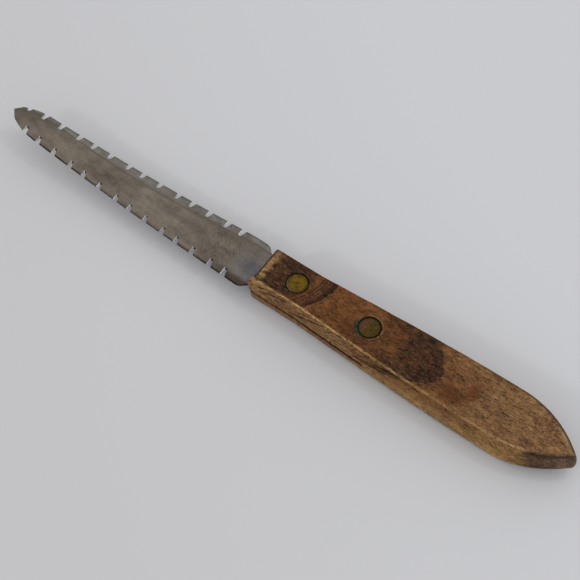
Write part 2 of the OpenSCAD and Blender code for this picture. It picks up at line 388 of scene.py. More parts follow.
def layered(tree, base, layers):
    """Lays colours over a base, each through its mask"""
    for mask, tint in layers:
        over = tint if isinstance(tint, bpy.types.NodeSocket) else (*tint, 1)
        mix = add(tree, "ShaderNodeMix", {FACTOR: mask, UNDER: base, OVER: over},
                  data_type="RGBA")
        base = mix.outputs[MIXED]
    return base


def product(tree, *sockets):
    """The product of masks"""
    result = sockets[0]
    for socket in sockets[1:]:
        result = add(tree, "ShaderNodeMath", {0: result, 1: socket},
                     operation="MULTIPLY").outputs[0]
    return result


def between(tree, socket, low, high, top=1.0):
    """A mask that climbs from 0 at low to top at high"""
    return add(tree, "ShaderNodeMapRange", {"Value": socket, "From Min": low, "From Max": high,
                                            "To Max": top}).outputs[0]


def summed(tree, base, terms):
    """A base number plus each socket times its weight"""
    result = base
    for socket, weight in terms:
        result = add(tree, "ShaderNodeMath", {0: socket, 1: weight, 2: result},
                     operation="MULTIPLY_ADD").outputs[0]
    return result


def start_material(name):
    """An empty material, and its surface coordinates in the frame's millimetres"""
    material = bpy.data.materials.new(name)
    material.use_nodes = True
    tree = material.node_tree
    tree.nodes.clear()
    place = add(tree, "ShaderNodeTexCoord")
    grid = add(tree, "ShaderNodeMapping", {"Vector": place.outputs["Object"],
                                           "Scale": (1 / MM, 1 / MM, 1 / MM)})
    return material, tree, grid.outputs[0]


def grains(tree, vector, scale, detail=3.0, roughness=0.6, shift=(0, 0, 0)):
    """Noise whose cells are 1 / scale millimetres long each way"""
    stretch = add(tree, "ShaderNodeMapping", {"Vector": vector, "Scale": scale,
                                              "Location": shift})
    return add(tree, "ShaderNodeTexNoise", {"Vector": stretch.outputs[0], "Scale": 1.0,
                                            "Detail": detail, "Roughness": roughness}
               ).outputs["Fac"]


def stored_fields(tree, names):
    """The numbers that a mesh carries for its material, by name"""
    return {name: add(tree, "ShaderNodeAttribute", attribute_name=name).outputs["Fac"]
            for name in names}


def from_axis(tree, grid, place):
    """Distance from the upright axis through a place"""
    offset = add(tree, "ShaderNodeVectorMath", {0: grid, 1: tuple(place)}, operation="SUBTRACT")
    flat = add(tree, "ShaderNodeVectorMath", {0: offset.outputs[0], 1: (1.0, 1.0, 0.0)},
               operation="MULTIPLY")
    return add(tree, "ShaderNodeVectorMath", {0: flat.outputs[0]},
               operation="LENGTH").outputs["Value"]


def distance_along(tree, grid, place, way):
    """How far the point that is shaded lies from a place in one direction"""
    offset = add(tree, "ShaderNodeVectorMath", {0: grid, 1: tuple(place)}, operation="SUBTRACT")
    return add(tree, "ShaderNodeVectorMath", {0: offset.outputs[0], 1: way},
               operation="DOT_PRODUCT").outputs["Value"]


# Handle

# Steps of the handle's mesh: across half the front, round its corner, along the side, round the
# arch and the nose, up the wall, round the saw, and along a split
FRONT_STEPS, CORNER_STEPS, SIDE_STEPS, ARCH_STEPS, NOSE_STEPS = 16, 3, 210, 60, 6
WALL_STEPS, SAW_STEPS, SPLIT_STEPS = 28, 360, 24

# Least radius of the nose where a rounded edge cuts into it, in millimetres
LEAST_NOSE = 0.3

# Splits in the sides: side (-1 near, 1 far), start and end behind the front face, height at the
# start, rise to the end, width at the surface and depth
SPLITS = (
    (-1, 2.8, 13.4, 8.6, 2.2, 0.45, 0.7),
    (-1, 13.2, 20.4, 6.9, 2.3, 0.50, 0.8),
    (-1, 19.8, 25.5, 9.0, 1.7, 0.45, 0.7),
    (-1, 0.8, 5.4, 9.4, 1.2, 0.35, 0.6),
    (-1, 35.4, 43.2, 6.9, 2.6, 0.38, 0.7),
    (-1, 42.6, 53.0, 9.5, 1.3, 0.60, 1.0),
    (-1, 38.9, 48.6, 7.7, 1.6, 0.45, 0.8),
    (-1, 48.3, 54.0, 10.8, 0.1, 0.35, 0.5),
    (-1, 55.3, 59.8, 10.2, 0.5, 0.35, 0.5),
    (-1, 73.2, 75.2, 9.7, 0.1, 0.35, 0.4),
    (1, 3.0, 26.0, 7.6, -0.5, 0.25, 0.7),
    (1, 24.0, 47.0, 3.6, 0.9, 0.22, 0.6),
)


def half_width(s, x):
    """Half the width of the flat faces at a distance behind the front face"""
    u = (x - s.front_run) / (s.total - s.arch - s.front_run)
    turn = math.pi / 2 * min(max(u, 0.0), 1.0)
    return s.front_width / 2 + (s.rear_width - s.front_width) / 2 * math.sin(turn)


def side_swell(s, z):
    """How far the side stands out at a height"""
    return s.swell * (1 - (2 * z / s.thickness - 1) ** 2)


def eased(s, z, low_radius, top_radius):
    """How far a rounded edge has drawn in at a height, for the lower and the upper edge"""
    depth = 0.0
    for height, radius in ((z, low_radius), (s.thickness - z, top_radius)):
        if height < radius:
            depth = max(depth, radius - math.sqrt(radius ** 2 - (radius - height) ** 2))
    return depth


def arch_circle(s):
    """The circle that the far side of the butt follows: the x and y of its middle, and its
    radius"""
    half = s.rear_width / 2
    radius = ((s.arch - s.nose) ** 2 + half ** 2 - s.nose ** 2) / (2 * (half - s.nose))
    return s.total - s.arch, half - radius, radius


def half_outline(s, z):
    """Half of the handle's outline at a height, from the middle of the front to the nose"""
    set_back = eased(s, z, s.front_edge, s.front_edge)
    side = side_swell(s, z) - eased(s, z, s.edge, s.edge)
    arch_x, arch_y, arch_r = arch_circle(s)
    nose = side_swell(s, z) - eased(s, z, s.butt_edge, s.edge)
    nose_r = max(LEAST_NOSE, s.nose + nose)
    nose_x = arch_x + math.sqrt((arch_r + nose - nose_r) ** 2 - arch_y ** 2)
    last = math.atan2(-arch_y, nose_x - arch_x)
    front = half_width(s, 0) + side - s.corner
    points = [(set_back, front * i / FRONT_STEPS) for i in range(FRONT_STEPS)]
    for i in range(CORNER_STEPS):
        t = math.pi * (1 - i / CORNER_STEPS / 2)
        points.append((set_back + s.corner * (1 + math.cos(t)), front + s.corner * math.sin(t)))
    start = set_back + s.corner
    for i in range(SIDE_STEPS):
        x = start + (arch_x - start) * i / SIDE_STEPS
        points.append((x, half_width(s, x) + side))
    for i in range(ARCH_STEPS):
        u = i / ARCH_STEPS
        low = s.edge + (s.butt_edge - s.edge) * math.sin(math.pi / 2 * u) ** 1.5
        r = arch_r + side_swell(s, z) - eased(s, z, low, s.edge)
        t = math.pi / 2 - (math.pi / 2 - last) * u
        points.append((arch_x + r * math.cos(t), arch_y + r * math.sin(t)))
    for i in range(NOSE_STEPS + 1):
        t = last * (1 - i / NOSE_STEPS)
        points.append((nose_x + nose_r * math.cos(t), nose_r * math.sin(t)))
    return points


def wear_depth(s, p):
    """How much use has taken off the handle at a point, measured from its front face: shallow
    hollows a finger wide, the softer lines of the grain, and most along the edges"""
    hollow = 0.5 + 0.5 * noise.noise(p / 13)
    grain = 0.5 + 0.5 * noise.noise(Vector((p.x / 11, p.y / 1.1, p.z / 1.1)))
    to_side = half_width(s, p.x) + side_swell(s, p.z) - abs(p.y)
    to_face = min(p.z, s.thickness - p.z)
    edge = 1 - ramp(math.hypot(to_side, to_face), 0.3, 1.6)
    rub = 0.5 + 0.5 * noise.noise(Vector((p.x / 5, p.y / 5, p.z / 5 + 7)))
    return s.wear * (0.2 * hollow + 0.3 * grain + 0.9 * edge * rub)


def splayed(s, p):
    """How far the wood over the saw cut has been pushed out at the near front corner. It's most
    at the top, and it fades out within 6 mm of the front."""
    lip = (s.thickness - s.saw_width) / 2
    amount = s.splay * (1 - ramp(p.x, 0.0, 6.0)) * ramp(p.z, lip, 9.5) * ramp(-p.y, 2.5, 6.0)
    return Vector((-amount, -0.7 * amount, 0))


def inside_edge(s, p):
    """Distance of a point from the outline of the flat faces, positive inside it"""
    arch_x, arch_y, arch_r = arch_circle(s)
    if p.x < arch_x:
        return half_width(s, p.x) - abs(p.y)
    return arch_r - math.hypot(p.x - arch_x, abs(p.y) - arch_y)


def handle_body(s):
    """The wooden body before it is sawn and drilled, with its wear"""
    bm = bmesh.new()
    rings = []
    for i in range(WALL_STEPS + 1):
        # Steps crowd towards the rounded edges
        u = i / WALL_STEPS
        z = s.thickness * (u - 0.12 * math.sin(2 * math.pi * u))
        half = half_outline(s, z)
        far = [bm.verts.new((x, y, z)) for x, y in half]
        near = [bm.verts.new((x, -y, z)) for x, y in half]
        rings.append((far, near))
    for low, high in zip(rings, rings[1:]):
        for side in (0, 1):
            for i in range(len(low[side]) - 1):
                bm.faces.new((low[side][i], low[side][i + 1], high[side][i + 1], high[side][i]))
    across = 2 * FRONT_STEPS
    for far, near in (rings[0], rings[-1]):
        rungs = [far[FRONT_STEPS:0:-1] + near[:FRONT_STEPS + 1]]
        for one, two in zip(far[FRONT_STEPS + 1:-1], near[FRONT_STEPS + 1:-1]):
            inner = [bm.verts.new(one.co.lerp(two.co, k / across)) for k in range(1, across)]
            rungs.append([one, *inner, two])
        for one, two in zip(rungs, rungs[1:]):
            for k in range(across):
                bm.faces.new((one[k], one[k + 1], two[k + 1], two[k]))
        for k in range(across):
            bm.faces.new((rungs[-1][k], rungs[-1][k + 1], far[-1]))
    tidy(bm)
    bm.normal_update()
    for vert in bm.verts:
        vert.co += splayed(s, vert.co) - vert.normal * wear_depth(s, vert.co)
    bmesh.ops.translate(bm, vec=(FRONT_X, 0, 0), verts=bm.verts)
    return mesh_from("handle_body", bm)


def saw_cut(s):
    """The slot that the saw leaves, up to its curved end"""
    bm = bmesh.new()
    middle = Vector((FRONT_X + s.saw_depth - s.saw_radius, 0, s.thickness / 2))
    half = s.saw_width / 2
    profile = [(0, -half), (s.saw_radius, -half), (s.saw_radius, half), (0, half)]
    turned(bm, profile, SAW_STEPS, middle)
    tidy(bm)
    return mesh_from("saw_cut", bm)


def rivet_holes(s, r):
    """The bores and the recesses for the heads, with their rims a little worn. The cutter reaches
    a millimetre past both faces."""
    bm = bmesh.new()
    bore = r.tube / 2 + r.play
    recess = r.head / 2 + r.gap
    rim = 0.15
    side = [(0, -1), (recess + rim + 1, -1), (recess + rim, 0), (recess, rim),
            (recess, r.head_thickness), (bore, r.head_thickness)]
    profile = side + [(radius, s.thickness - height) for radius, height in reversed(side)]
    for place in rivet_places():
        turned(bm, profile, r.sides, place)
    tidy(bm)
    return mesh_from("rivet_holes", bm)


def split_cutters(s):
    """Thin wedges that open the splits in the sides. Each tapers to both ends, wanders a little,
    and reaches out past the side."""
    bm = bmesh.new()
    over = 1.6
    for side, start, end, height, rise, width, depth in SPLITS:
        sections = []
        for i in range(SPLIT_STEPS + 1):
            u = i / SPLIT_STEPS
            x = start + (end - start) * u
            ragged = 0.8 + 0.25 * noise.noise(Vector((x / 1.5, height, 0)))
            opening = 0.08 + math.sin(math.pi * u) ** 0.5 * ragged
            z = height + rise * u + 0.25 * noise.noise(Vector((x / 6, height, side)))
            wall = half_width(s, x) + side_swell(s, z)
            half = width / 2 * (opening + over / depth)
            spots = ((wall + over, z + half), (wall + over, z - half), (wall - depth * opening, z))
            sections.append([bm.verts.new((x + FRONT_X, side * y, h)) for y, h in spots])
        for one, two in zip(sections, sections[1:]):
            for k in range(3):
                m = (k + 1) % 3
                bm.faces.new((one[k], one[m], two[m], two[k]))
        bm.faces.new(sections[0])
        bm.faces.new(sections[-1])
    bmesh.ops.recalc_face_normals(bm, faces=bm.faces)
    return mesh_from("split_cutters", bm)


# How much of the near top edge is worn bare, with a painted highlight, and how wide that is,
# by millimetres in the frame
BARE_AND_HIGHLIT_ALONG = ((-6.0, 0.9, 0.9), (-3, 0.95, 0.5), (3, 0.9, 0.36), (26, 0.9, 0.36), (30, 0.75, 0.4),
              (46, 0.5, 0.36), (50, 0.25, 0.36), (64, 0.25, 0.36), (72, 0.6, 0.36),
              (86, 0.75, 0.36), (94, 0.5, 0.3))
# The height down to which the near side is dark, by millimetres in the frame
DARK_DOWN_TO = ((-6, 11.6), (18, 11.2), (24, 9.8), (28, 8.4), (31, 7.2), (34, 6.6), (38, 7.6),
                (42, 8.8), (46, 9.5), (50, 9.9), (53, 10.6), (56, 11.8))
# Reddish patches seen from above: how strong, and their middles and radii in the frame
RUSSET_PATCHES = ((0.95, (60.5, -4.6), (8, 4.4)), (0.8, (64.8, 0), (3.2, 4.6)),
                  (0.8, (25, -3.2), (3.8, 2.2)), (0.5, (12, 5), (4, 3)),
                  (0.6, (37, 5.5), (6, 3)), (0.5, (53.5, -6.2), (3, 1.2)))
# Where the rear growth lines reach farthest towards the butt, and how steeply they fall back on
# its far and near side
ARCH_MIDDLE, ARCH_FAR, ARCH_NEAR = -2.3, 0.055, 0.24
# A place along the figure where the heartwood is at its darkest
DARKEST = 50.0


def look_up(rows, x, column=1):
    """A value between the rows of a table, by their first column"""
    for one, two in zip(rows, rows[1:]):
        if x < two[0]:
            share = max((x - one[0]) / (two[0] - one[0]), 0.0)
            return one[column] + (two[column] - one[column]) * share
    return rows[-1][column]


class WoodSpot:
    """A point of the handle: its place in the frame with y towards the far side, how far it is
    behind the front, under the upper face and inside the outline, how much it is on a side, and
    how ragged the figure ends there"""

    def __init__(self, s, place):
        self.place = place
        self.x, self.y, self.z = place
        self.behind = self.x - FRONT_X
        self.deep = s.thickness - self.z
        self.inside = inside_edge(s, Vector((self.behind, self.y, self.z)))
        self.to_side = self.inside + side_swell(s, self.z)
        self.on_side = ramp(self.deep, 0.2, 0.7) * (1 - ramp(self.to_side, 0.3, 1.0))
        self.near_side = self.on_side if self.y < 0 else 0.0
        streak = noise.noise(Vector((self.x / 3, self.y / 0.55, self.z)))
        self.ragged = streak + 0.6 * noise.noise(place / 1.1)


def side_dark(spot):
    """How dark the near side is. The dark figure comes down to a slanted line there, and above
    that line the wood is dark throughout."""
    if spot.near_side <= 0.5:
        return 0.0
    lowest = look_up(DARK_DOWN_TO, spot.x) + 0.5 * noise.noise(Vector((spot.x / 3, spot.z, 5)))
    return (0.15 + 0.4 * ramp(spot.x, 28, 37)) * ramp(spot.z, lowest, lowest + 0.9)


def figure_at(spot):
    """Where a point lies along the figure, in millimetres. The growth lines bow: the front ones
    lean back on the far side, and the rear ones arch."""
    if side_dark(spot) > 0:
        return DARKEST
    x, y, z = spot.place
    lean = 0.4 * y - 0.038 * y * y
    arch = -(ARCH_FAR if y > ARCH_MIDDLE else ARCH_NEAR) * (y - ARCH_MIDDLE) ** 2
    share = ramp(x, 15, 48)
    wave = 0.7 * noise.noise(Vector((x / 5, y / 2, z / 2))) + 0.35 * noise.noise(spot.place / 0.9)
    # Their ends are ragged at the worn front and round the dark patch
    wave = wave * (0.5 + share) + spot.ragged * (1.1 * (1 - ramp(x, -2, 4)) + 0.6 * share)
    return x - lean * (1 - share) - arch * share + wave


def shown_at(spot):
    """How much of the figure shows: all of it on the upper face, most of it on the far side and
    the lower face, and on the near side only where that is dark"""
    shown = side_dark(spot)
    if shown <= 0:
        shown = (1 - spot.near_side) * (1 if spot.y < 0 or spot.deep < 0.3 else 0.8)
    return max(shown, 0.75 * (1 - ramp(spot.z, 0, 0.8)))


def russet_at(spot):
    """How reddish the wood is: in patches, and along the middle of the near side. It fades
    downwards."""
    patch = sum(strength * blot(spot.x, spot.y, middle, radii)
                for strength, middle, radii in RUSSET_PATCHES)
    patch += 0.5 * spot.near_side * ramp(spot.x, 36, 44) * (1 - ramp(spot.x, 62, 70))
    return patch * ramp(spot.z, 6.5, 10)


def pale_at(spot):
    """How pale the near side is: more towards the butt and towards the table"""
    pale = 0.1 + 0.45 * ramp(spot.x, 28, 38) + 0.45 * ramp(spot.x, 60, 76)
    return spot.near_side * pale * (1 - 0.75 * ramp(spot.z, 5, 9))


def bare_and_highlit_at(spot):
    """How pale the wood is made: in a line along the middle of the rounded near top edge, worn bare
    and with a painted highlight, and in a ragged band worn bare across the front of the upper face"""
    front = 1 - ramp(spot.behind + spot.ragged, 1.8, 3.2)
    front *= ramp(spot.behind, 0.5, 1.0) * (spot.deep < 1.5)
    if spot.y >= 0:
        return 0.5 * front
    width = look_up(BARE_AND_HIGHLIT_ALONG, spot.x, 2)
    edge = 1 - ramp(abs(spot.to_side - spot.deep), 0.6 * width, 1.2 * width)
    edge *= 1 - ramp(math.hypot(spot.to_side, spot.deep), 1.0, 1.5)
    return max(edge * look_up(BARE_AND_HIGHLIT_ALONG, spot.x), 0.5 * front)


def rub_at(spot):
    """Where hands have rubbed the bare wood clean, in patches 4 mm long"""
    return 0.5 + 0.5 * noise.noise(Vector((spot.x / 4, spot.y / 1.5, 3)))


def grime_and_shade_at(spot):
    """How dark the wood is made: on the front face but for its near corner, as painted shade along
    the far top edge, and in a line under the near top edge of the butt"""
    end = (1 - ramp(spot.behind, 0.6, 1.0)) * (0.2 + 0.8 * ramp(spot.y, -4.5, -3))
    if spot.y > 0:
        edge = 1 - ramp(math.hypot(spot.inside, spot.deep), 0.3, 0.8)
        return max(end, edge * (0.25 + 0.5 * ramp(spot.x, 50, 80)))
    line = ramp(spot.behind, 90, 93) * ramp(spot.deep, 0.4, 0.8) * (1 - ramp(spot.deep, 1.1, 1.8))
    return max(end, 0.65 * spot.on_side * line)


def butt_at(spot):
    """How much the end grain of the butt has darkened, on the near side and round the nose. Low
    on the wall this begins farther back."""
    if spot.y >= 0.5:
        return 0.0
    wall = 1 - ramp(spot.behind - 0.75 * spot.deep, 82, 86)
    off_face = 1 - ramp(spot.inside, 0.2, 0.45)
    return ramp(spot.behind, 89, 94) * off_face * (1 - wall * ramp(spot.deep, 2, 4))


def bounce_light_and_dust_at(spot):
    """How pale and grey the wood is made: painted light bounced up from the table low on the
    sides, and paler on the far side of the butt
    """
    low = spot.on_side * (1 - ramp(spot.z, 1.5, 5.0)) * (0.4 + 0.6 * ramp(spot.x, 16, 34))
    tip = (1 - ramp(spot.inside, 0.7, 2.0)) * ramp(spot.x, 84, 92) * (spot.y > 0)
    return max(low, 0.8 * tip)


def rough_at(spot):
    """How coarse the fibres of the near side are: most at the front"""
    return spot.near_side * (1 - ramp(spot.x, 22, 38))


# What the wood's material reads per vertex, with how it is worked out, and per face
WOOD_FIELDS = {"figure": figure_at, "shown": shown_at, "russet": russet_at, "pale": pale_at,
               "bare": bare_and_highlit_at, "rub": rub_at, "grime": grime_and_shade_at, "butt": butt_at,
               "dusty": bounce_light_and_dust_at, "rough": rough_at}
WOOD_WALLS = ("inside", "split")


def paint_handle(mesh, s):
    """Stores where the figure, the warm patches, the bare edges with their painted highlight, the
    grime, the painted shade and the painted bounce light of the wood lie
    """
    spots = [WoodSpot(s, vert.co / MM) for vert in mesh.vertices]
    for name, value_at in WOOD_FIELDS.items():
        write_field(mesh, name, [value_at(spot) for spot in spots])
    # The walls of the saw cut, the splits and the bores never see a hand or a cloth, and the
    # splits' walls are painted dark as shade. A split's shallow walls are known by the way they
    # face.
    walls = {name: [] for name in WOOD_WALLS}
    for face in mesh.polygons:
        x, y, z = face.center / MM
        behind = x - FRONT_X
        to_side = half_width(s, behind) + side_swell(s, z) - abs(y)
        buried = min(z, s.thickness - z) > 0.8 and to_side > 0.25 and 0.6 < behind < 78
        shallow = abs(face.normal.y) < 0.75 and to_side > 0.04 and 1.0 < z < 10.5 and behind > 3
        beside_saw_cut = abs(z - s.thickness / 2 + 0.25) < 0.9
        split = (buried or shallow) and to_side < 1.5 and not beside_saw_cut
        walls["inside"].append(float(buried))
        walls["split"].append(float(split))
    for name, values in walls.items():
        write_field(mesh, name, values, "FACE")


# What shows along the figure, by millimetres in the frame: dark heartwood, the thin growth lines
# behind the front rivet, and red-brown wood
HEART_ALONG = ((-6, 0.2), (-3.6, 0.3), (-3.0, 0.95), (4, 1.0), (7.5, 0.8), (8.6, 0.25),
               (12.9, 0.2), (13.3, 0.5), (14.0, 0.8), (14.3, 0.8), (14.6, 0.1), (24, 0.15),
               (32, 0.35), (36, 0.45), (40, 0.5), (43, 0.85), (47, 0.95), (54.3, 1.0),
               (54.8, 0.15), (58, 0.02), (90, 0.0))
LINES_ALONG = ((10.05, 0.0), (10.4, 1.0), (10.8, 0.1), (11.05, 0.0), (11.4, 1.0), (11.8, 0.1),
               (11.95, 0.0), (12.3, 1.0), (12.65, 0.1), (12.8, 0.15), (13.15, 1.0), (13.5, 0.6),
               (13.85, 1.0), (14.35, 1.0), (14.6, 0.0))
WARM_ALONG = ((-6, 0.6), (0, 0.7), (9, 0.9), (14, 0.95), (30, 0.95), (40, 0.9), (54, 0.75),
              (60, 0.45), (66, 0.3), (69, 0.1), (90, 0.0))


def along_figure(tree, figure, stops):
    """A curve of values along the figure, as a ramp of greys"""
    start, end = stops[0][0], stops[-1][0]
    node = add(tree, "ShaderNodeValToRGB", {0: between(tree, figure, start, end)})
    elements = node.color_ramp.elements
    while len(elements) < len(stops):
        elements.new(0.5)
    for element, (mm, value) in zip(elements, stops):
        element.position = (mm - start) / (end - start)
        element.color = (value, value, value, 1)
    return node.outputs["Color"]


def wood_patterns(tree, grid):
    """The patterns of the wood: along its wandering grain the streaks, fibres, pores and
    blotches, and over it the mottling, its finest part, and slow changes"""
    # The grain wanders by a millimetre or two over the length of a finger
    drift = add(tree, "ShaderNodeTexNoise", {"Vector": grid, "Scale": 0.07, "Detail": 1.0})
    centred = add(tree, "ShaderNodeVectorMath", {0: drift.outputs["Color"], 1: (0.5, 0.5, 0.5)},
                  operation="SUBTRACT")
    wander = add(tree, "ShaderNodeVectorMath", {0: centred.outputs[0], 1: (0.0, 5.0, 5.0),
                                                2: grid}, operation="MULTIPLY_ADD").outputs[0]
    # Streaks 8 mm long and 0.6 mm wide; fibres 2 mm long and 0.3 mm wide; pores 1.5 mm long,
    # drawn 0.3 mm wide so that they show, though real ones are 0.1 mm
    streaks = grains(tree, wander, (0.12, 1.6, 1.6), 5.0, 0.65)
    fibres = grains(tree, wander, (0.5, 3.2, 3.2), 4.0, 0.75, (1, 8, 2))
    pores = grains(tree, wander, (0.7, 3.4, 3.4), 2.0, 0.55, (3, 5, 7))
    # Blotches 1.7 mm long break up the dark figure
    blotches = grains(tree, wander, (0.6, 1.6, 1.6), 6.0, 0.8, (4, 4, 4))
    # Mottling from dirt and handling, from 3 mm down, and slow changes over a centimetre
    mottle = grains(tree, grid, (0.35, 0.5, 0.5), 7.0, 0.8)
    fine = grains(tree, grid, (1.6, 3.0, 3.0), 3.0, 0.7)
    slow = grains(tree, grid, (0.08, 0.2, 0.2), 3.0, 0.5, (6, 1, 4))
    return streaks, fibres, pores, blotches, mottle, fine, slow


def stained_and_shaded(tree, grid, wood, mottle, colours):
    """The wood's colour with painted shade under the saw cut and the stains round the rivets"""
    # Painted shade along the lower lip of the saw cut on the near side, with a ragged edge
    spot = add(tree, "ShaderNodeSeparateXYZ", {0: grid}).outputs
    height = summed(tree, -0.3, [(mottle, 0.6), (spot["Z"], 1.0)])
    slot_shade = product(tree, between(tree, height, 4.55, 4.95), between(tree, height, 5.6, 5.3),
                   between(tree, spot["X"], 4.0, 14.0, 0.6),
                   between(tree, spot["X"], 34.6, 34.0), between(tree, spot["Y"], -5.0, -5.5))
    wood = layered(tree, wood, [(slot_shade, colours.grime)])
    # A ring of grime in the wood round each rivet, just outside its recess
    front, rear = rivet_places()
    for place in (front, rear):
        ring = from_axis(tree, grid, place)
        mask = product(tree, between(tree, ring, 3.2, 3.28), between(tree, ring, 3.65, 3.4),
                       between(tree, mottle, 0.3, 0.5))
        wood = layered(tree, wood, [(mask, colours.grime)])
    # Beside the rear one verdigris on the near left, and a thin pale line on the right
    ring = from_axis(tree, grid, rear)
    near_left = distance_along(tree, grid, rear, (-0.8, -0.6, 0.0))
    green = product(tree, between(tree, near_left, 2.2, 3.4), between(tree, ring, 4.5, 4.0, 0.9))
    line = product(tree, between(tree, near_left, 1.0, -1.0), between(tree, ring, 3.65, 3.8),
                   between(tree, ring, 4.05, 3.9, 0.4))
    return layered(tree, wood, [(green, colours.verdigris), (line, colours.bare)])


def wood_material(colours):
    """Rosewood-like tropical hardwood, sanded and oiled once, then dried out by washing. To the
    eye: a dull surface with fine dark pores along the grain, a dark figure with growth lines,
    pale bare wood where hands have worn the edges, and painted light and shade: a highlight
    along the near top edge, light bounced from the table low on the sides, and shade in the
    splits, under the saw cut and along the far top edge."""
    material, tree, grid = start_material("weathered_hardwood")
    streaks, fibres, pores, blotches, mottle, fine, slow = wood_patterns(tree, grid)
    pore_mask = between(tree, pores, 0.60, 0.68, 0.85)
    fields = stored_fields(tree, (*WOOD_FIELDS, *WOOD_WALLS))
    along = add(tree, "ShaderNodeSeparateXYZ", {0: grid}).outputs["X"]

    # The growth lines break up by half a millimetre
    figure = summed(tree, -0.6, [(fine, 1.2), (fields["figure"], 1.0)])
    heart = product(tree, along_figure(tree, figure, HEART_ALONG), fields["shown"],
                    between(tree, blotches, 0.28, 0.53), between(tree, fibres, 0.08, 0.42))
    lines = product(tree, along_figure(tree, figure, LINES_ALONG), fields["shown"],
                    between(tree, fibres, 0.0, 0.32))
    warm = product(tree, along_figure(tree, figure, WARM_ALONG), fields["shown"])
    russet = product(tree, fields["russet"], between(tree, mottle, 0.3, 0.52),
                     between(tree, fibres, 0.05, 0.5))
    bare = product(tree, fields["bare"], between(tree, fibres, 0.2, 0.5),
                   between(tree, fields["rub"], 0.1, 0.4))
    butt = product(tree, fields["butt"], between(tree, blotches, 0.2, 0.5))

    wood = layered(tree, (*colours.tan_dark, 1), [
        (between(tree, streaks, 0.3, 0.58), colours.tan),
        (fields["pale"], colours.side),
        (warm, colours.warm),
        (russet, colours.russet),
        (heart, colours.heart),
        (lines, colours.heart),
        # Bare wear, and a painted highlight along the near top edge
        (bare, colours.bare),
        # Painted light bounced up from the table, low on the sides
        (between(tree, fields["dusty"], 0.0, 1.0, 0.35), colours.dust_and_bounce_light),
        (butt, colours.butt),
        # Dust has settled in the end grain, thickest towards the nose, and in flecks
        (product(tree, butt, between(tree, along, 89.0, 97.0, 0.16)), colours.dust_and_bounce_light),
        (product(tree, butt, between(tree, mottle, 0.52, 0.64, 0.2)), colours.dust_and_bounce_light),
        # Darker where the field says, with painted shade along the far top edge
        (product(tree, fields["grime"], between(tree, mottle, 0.3, 0.5)), colours.grime),
        (pore_mask, colours.grime),
        (fields["inside"], colours.sawn),
        # Painted shade inside the splits
        (fields["split"], colours.heart),
    ])
    wood = stained_and_shaded(tree, grid, wood, mottle, colours)

    # How light each spot is, and how yellow or red. The coarse side has stronger fibres and less
    # mottling, the dark figure is the most uneven, and the bare edge, with its painted highlight,
    # is lightest behind the front corner.
    texture = summed(tree, -4.0, [(fibres, 2.8), (mottle, 3.4), (fine, 1.8)])
    strands = summed(tree, -1.4, [(fibres, 2.8)])
    lightness = summed(tree, 0.65, [
        (slow, 0.7), (texture, 1.0), (product(tree, strands, fields["rough"]), 2.0),
        (product(tree, texture, fields["rough"]), -0.6),
        (product(tree, texture, heart), 0.8),
        (product(tree, bare, between(tree, along, -4.0, 0.0)), 0.3)])
    hue = summed(tree, 0.485, [(slow, 0.03)])
    varied = add(tree, "ShaderNodeHueSaturation", {"Color": wood, "Value": lightness,
                                                   "Hue": hue}).outputs[0]

    relief = layered(tree, (0, 0, 0, 1), [(0.6, fibres), (0.4, mottle), (pore_mask, (0, 0, 0))])
    bump = add(tree, "ShaderNodeBump", {"Strength": 0.7, "Distance": 0.2 * MM,
                                        "Height": relief})
    roughness = add(tree, "ShaderNodeMapRange", {"Value": streaks, "To Min": 0.5, "To Max": 0.8})
    surface = add(tree, "ShaderNodeBsdfPrincipled", {
        "Base Color": varied, "Roughness": roughness.outputs[0], "Normal": bump.outputs[0],
        "IOR": 1.5, "Specular IOR Level": 0.12})
    add(tree, "ShaderNodeOutputMaterial", {"Surface": surface.outputs[0]})
    return material


class KNIFE_OT_make_handle(bpy.types.Operator):
    """Shape the wooden handle, saw it for the tang and drill it for the rivets"""

    bl_idname = "knife.make_handle"
    bl_label = "Make handle"

    def execute(self, context):
        scene = context.scene
        s, r = Sizes(scene.knife_handle), Sizes(scene.knife_rivets)
        mesh = handle_body(s)
        for cutter in (saw_cut(s), rivet_holes(s, r), split_cutters(s)):
            mesh = cut(mesh, cutter)
        paint_handle(mesh, s)
        finish_piece("wooden_handle", mesh, wood_material(scene.knife_finish),
                     "handle")
        return {"FINISHED"}


# Blade

# Steps of the blade's mesh: across the flat, where the rows across a bevel lie, round the neck, a
# shoulder and the tip, and the length of a step along the blade and along the tang
FLAT_STEPS, BEVEL_STOPS = 16, (0.35, 0.7, 0.9, 1.0)
NECK_STEPS, SHOULDER_STEPS, TIP_STEPS = 5, 8, 24
BLADE_STEP, TANG_STEP = 0.4, 1.0

# The bevel, in millimetres before the tip: where its wider middle ends, where it narrows, and
# where it narrows again at the point
BULGE_END, BEVEL_NARROWS, POINT_NARROWS = 22, (27, 13), (5.3, 1.6)


def edge_half(b, u):
    """Half width of the blade at a distance in front of the handle, with no neck and no tip"""
    return b.heel_width / 2 - max(u - b.heel, 0.0) * math.tan(b.taper)


def turn_points(centre, radius, first, last, steps):
    """Points of an arc in the outline, with its angles from straight out to the side, and the
    direction in which each point looks outwards"""
    points = []
    for i in range(steps + 1):
        t = first + (last - first) * i / steps
        way = Vector((math.sin(t), math.cos(t)))
        points.append((centre + radius * way, way))
    return points


def run_points(start, end, step):
    """Points of a straight stretch of outline, and the direction in which it looks outwards"""
    along = end - start
    way = Vector((-along.y, along.x)).normalized()
    count = max(1, round(along.length / step))
    return [(start.lerp(end, i / count), way) for i in range(count + 1)]


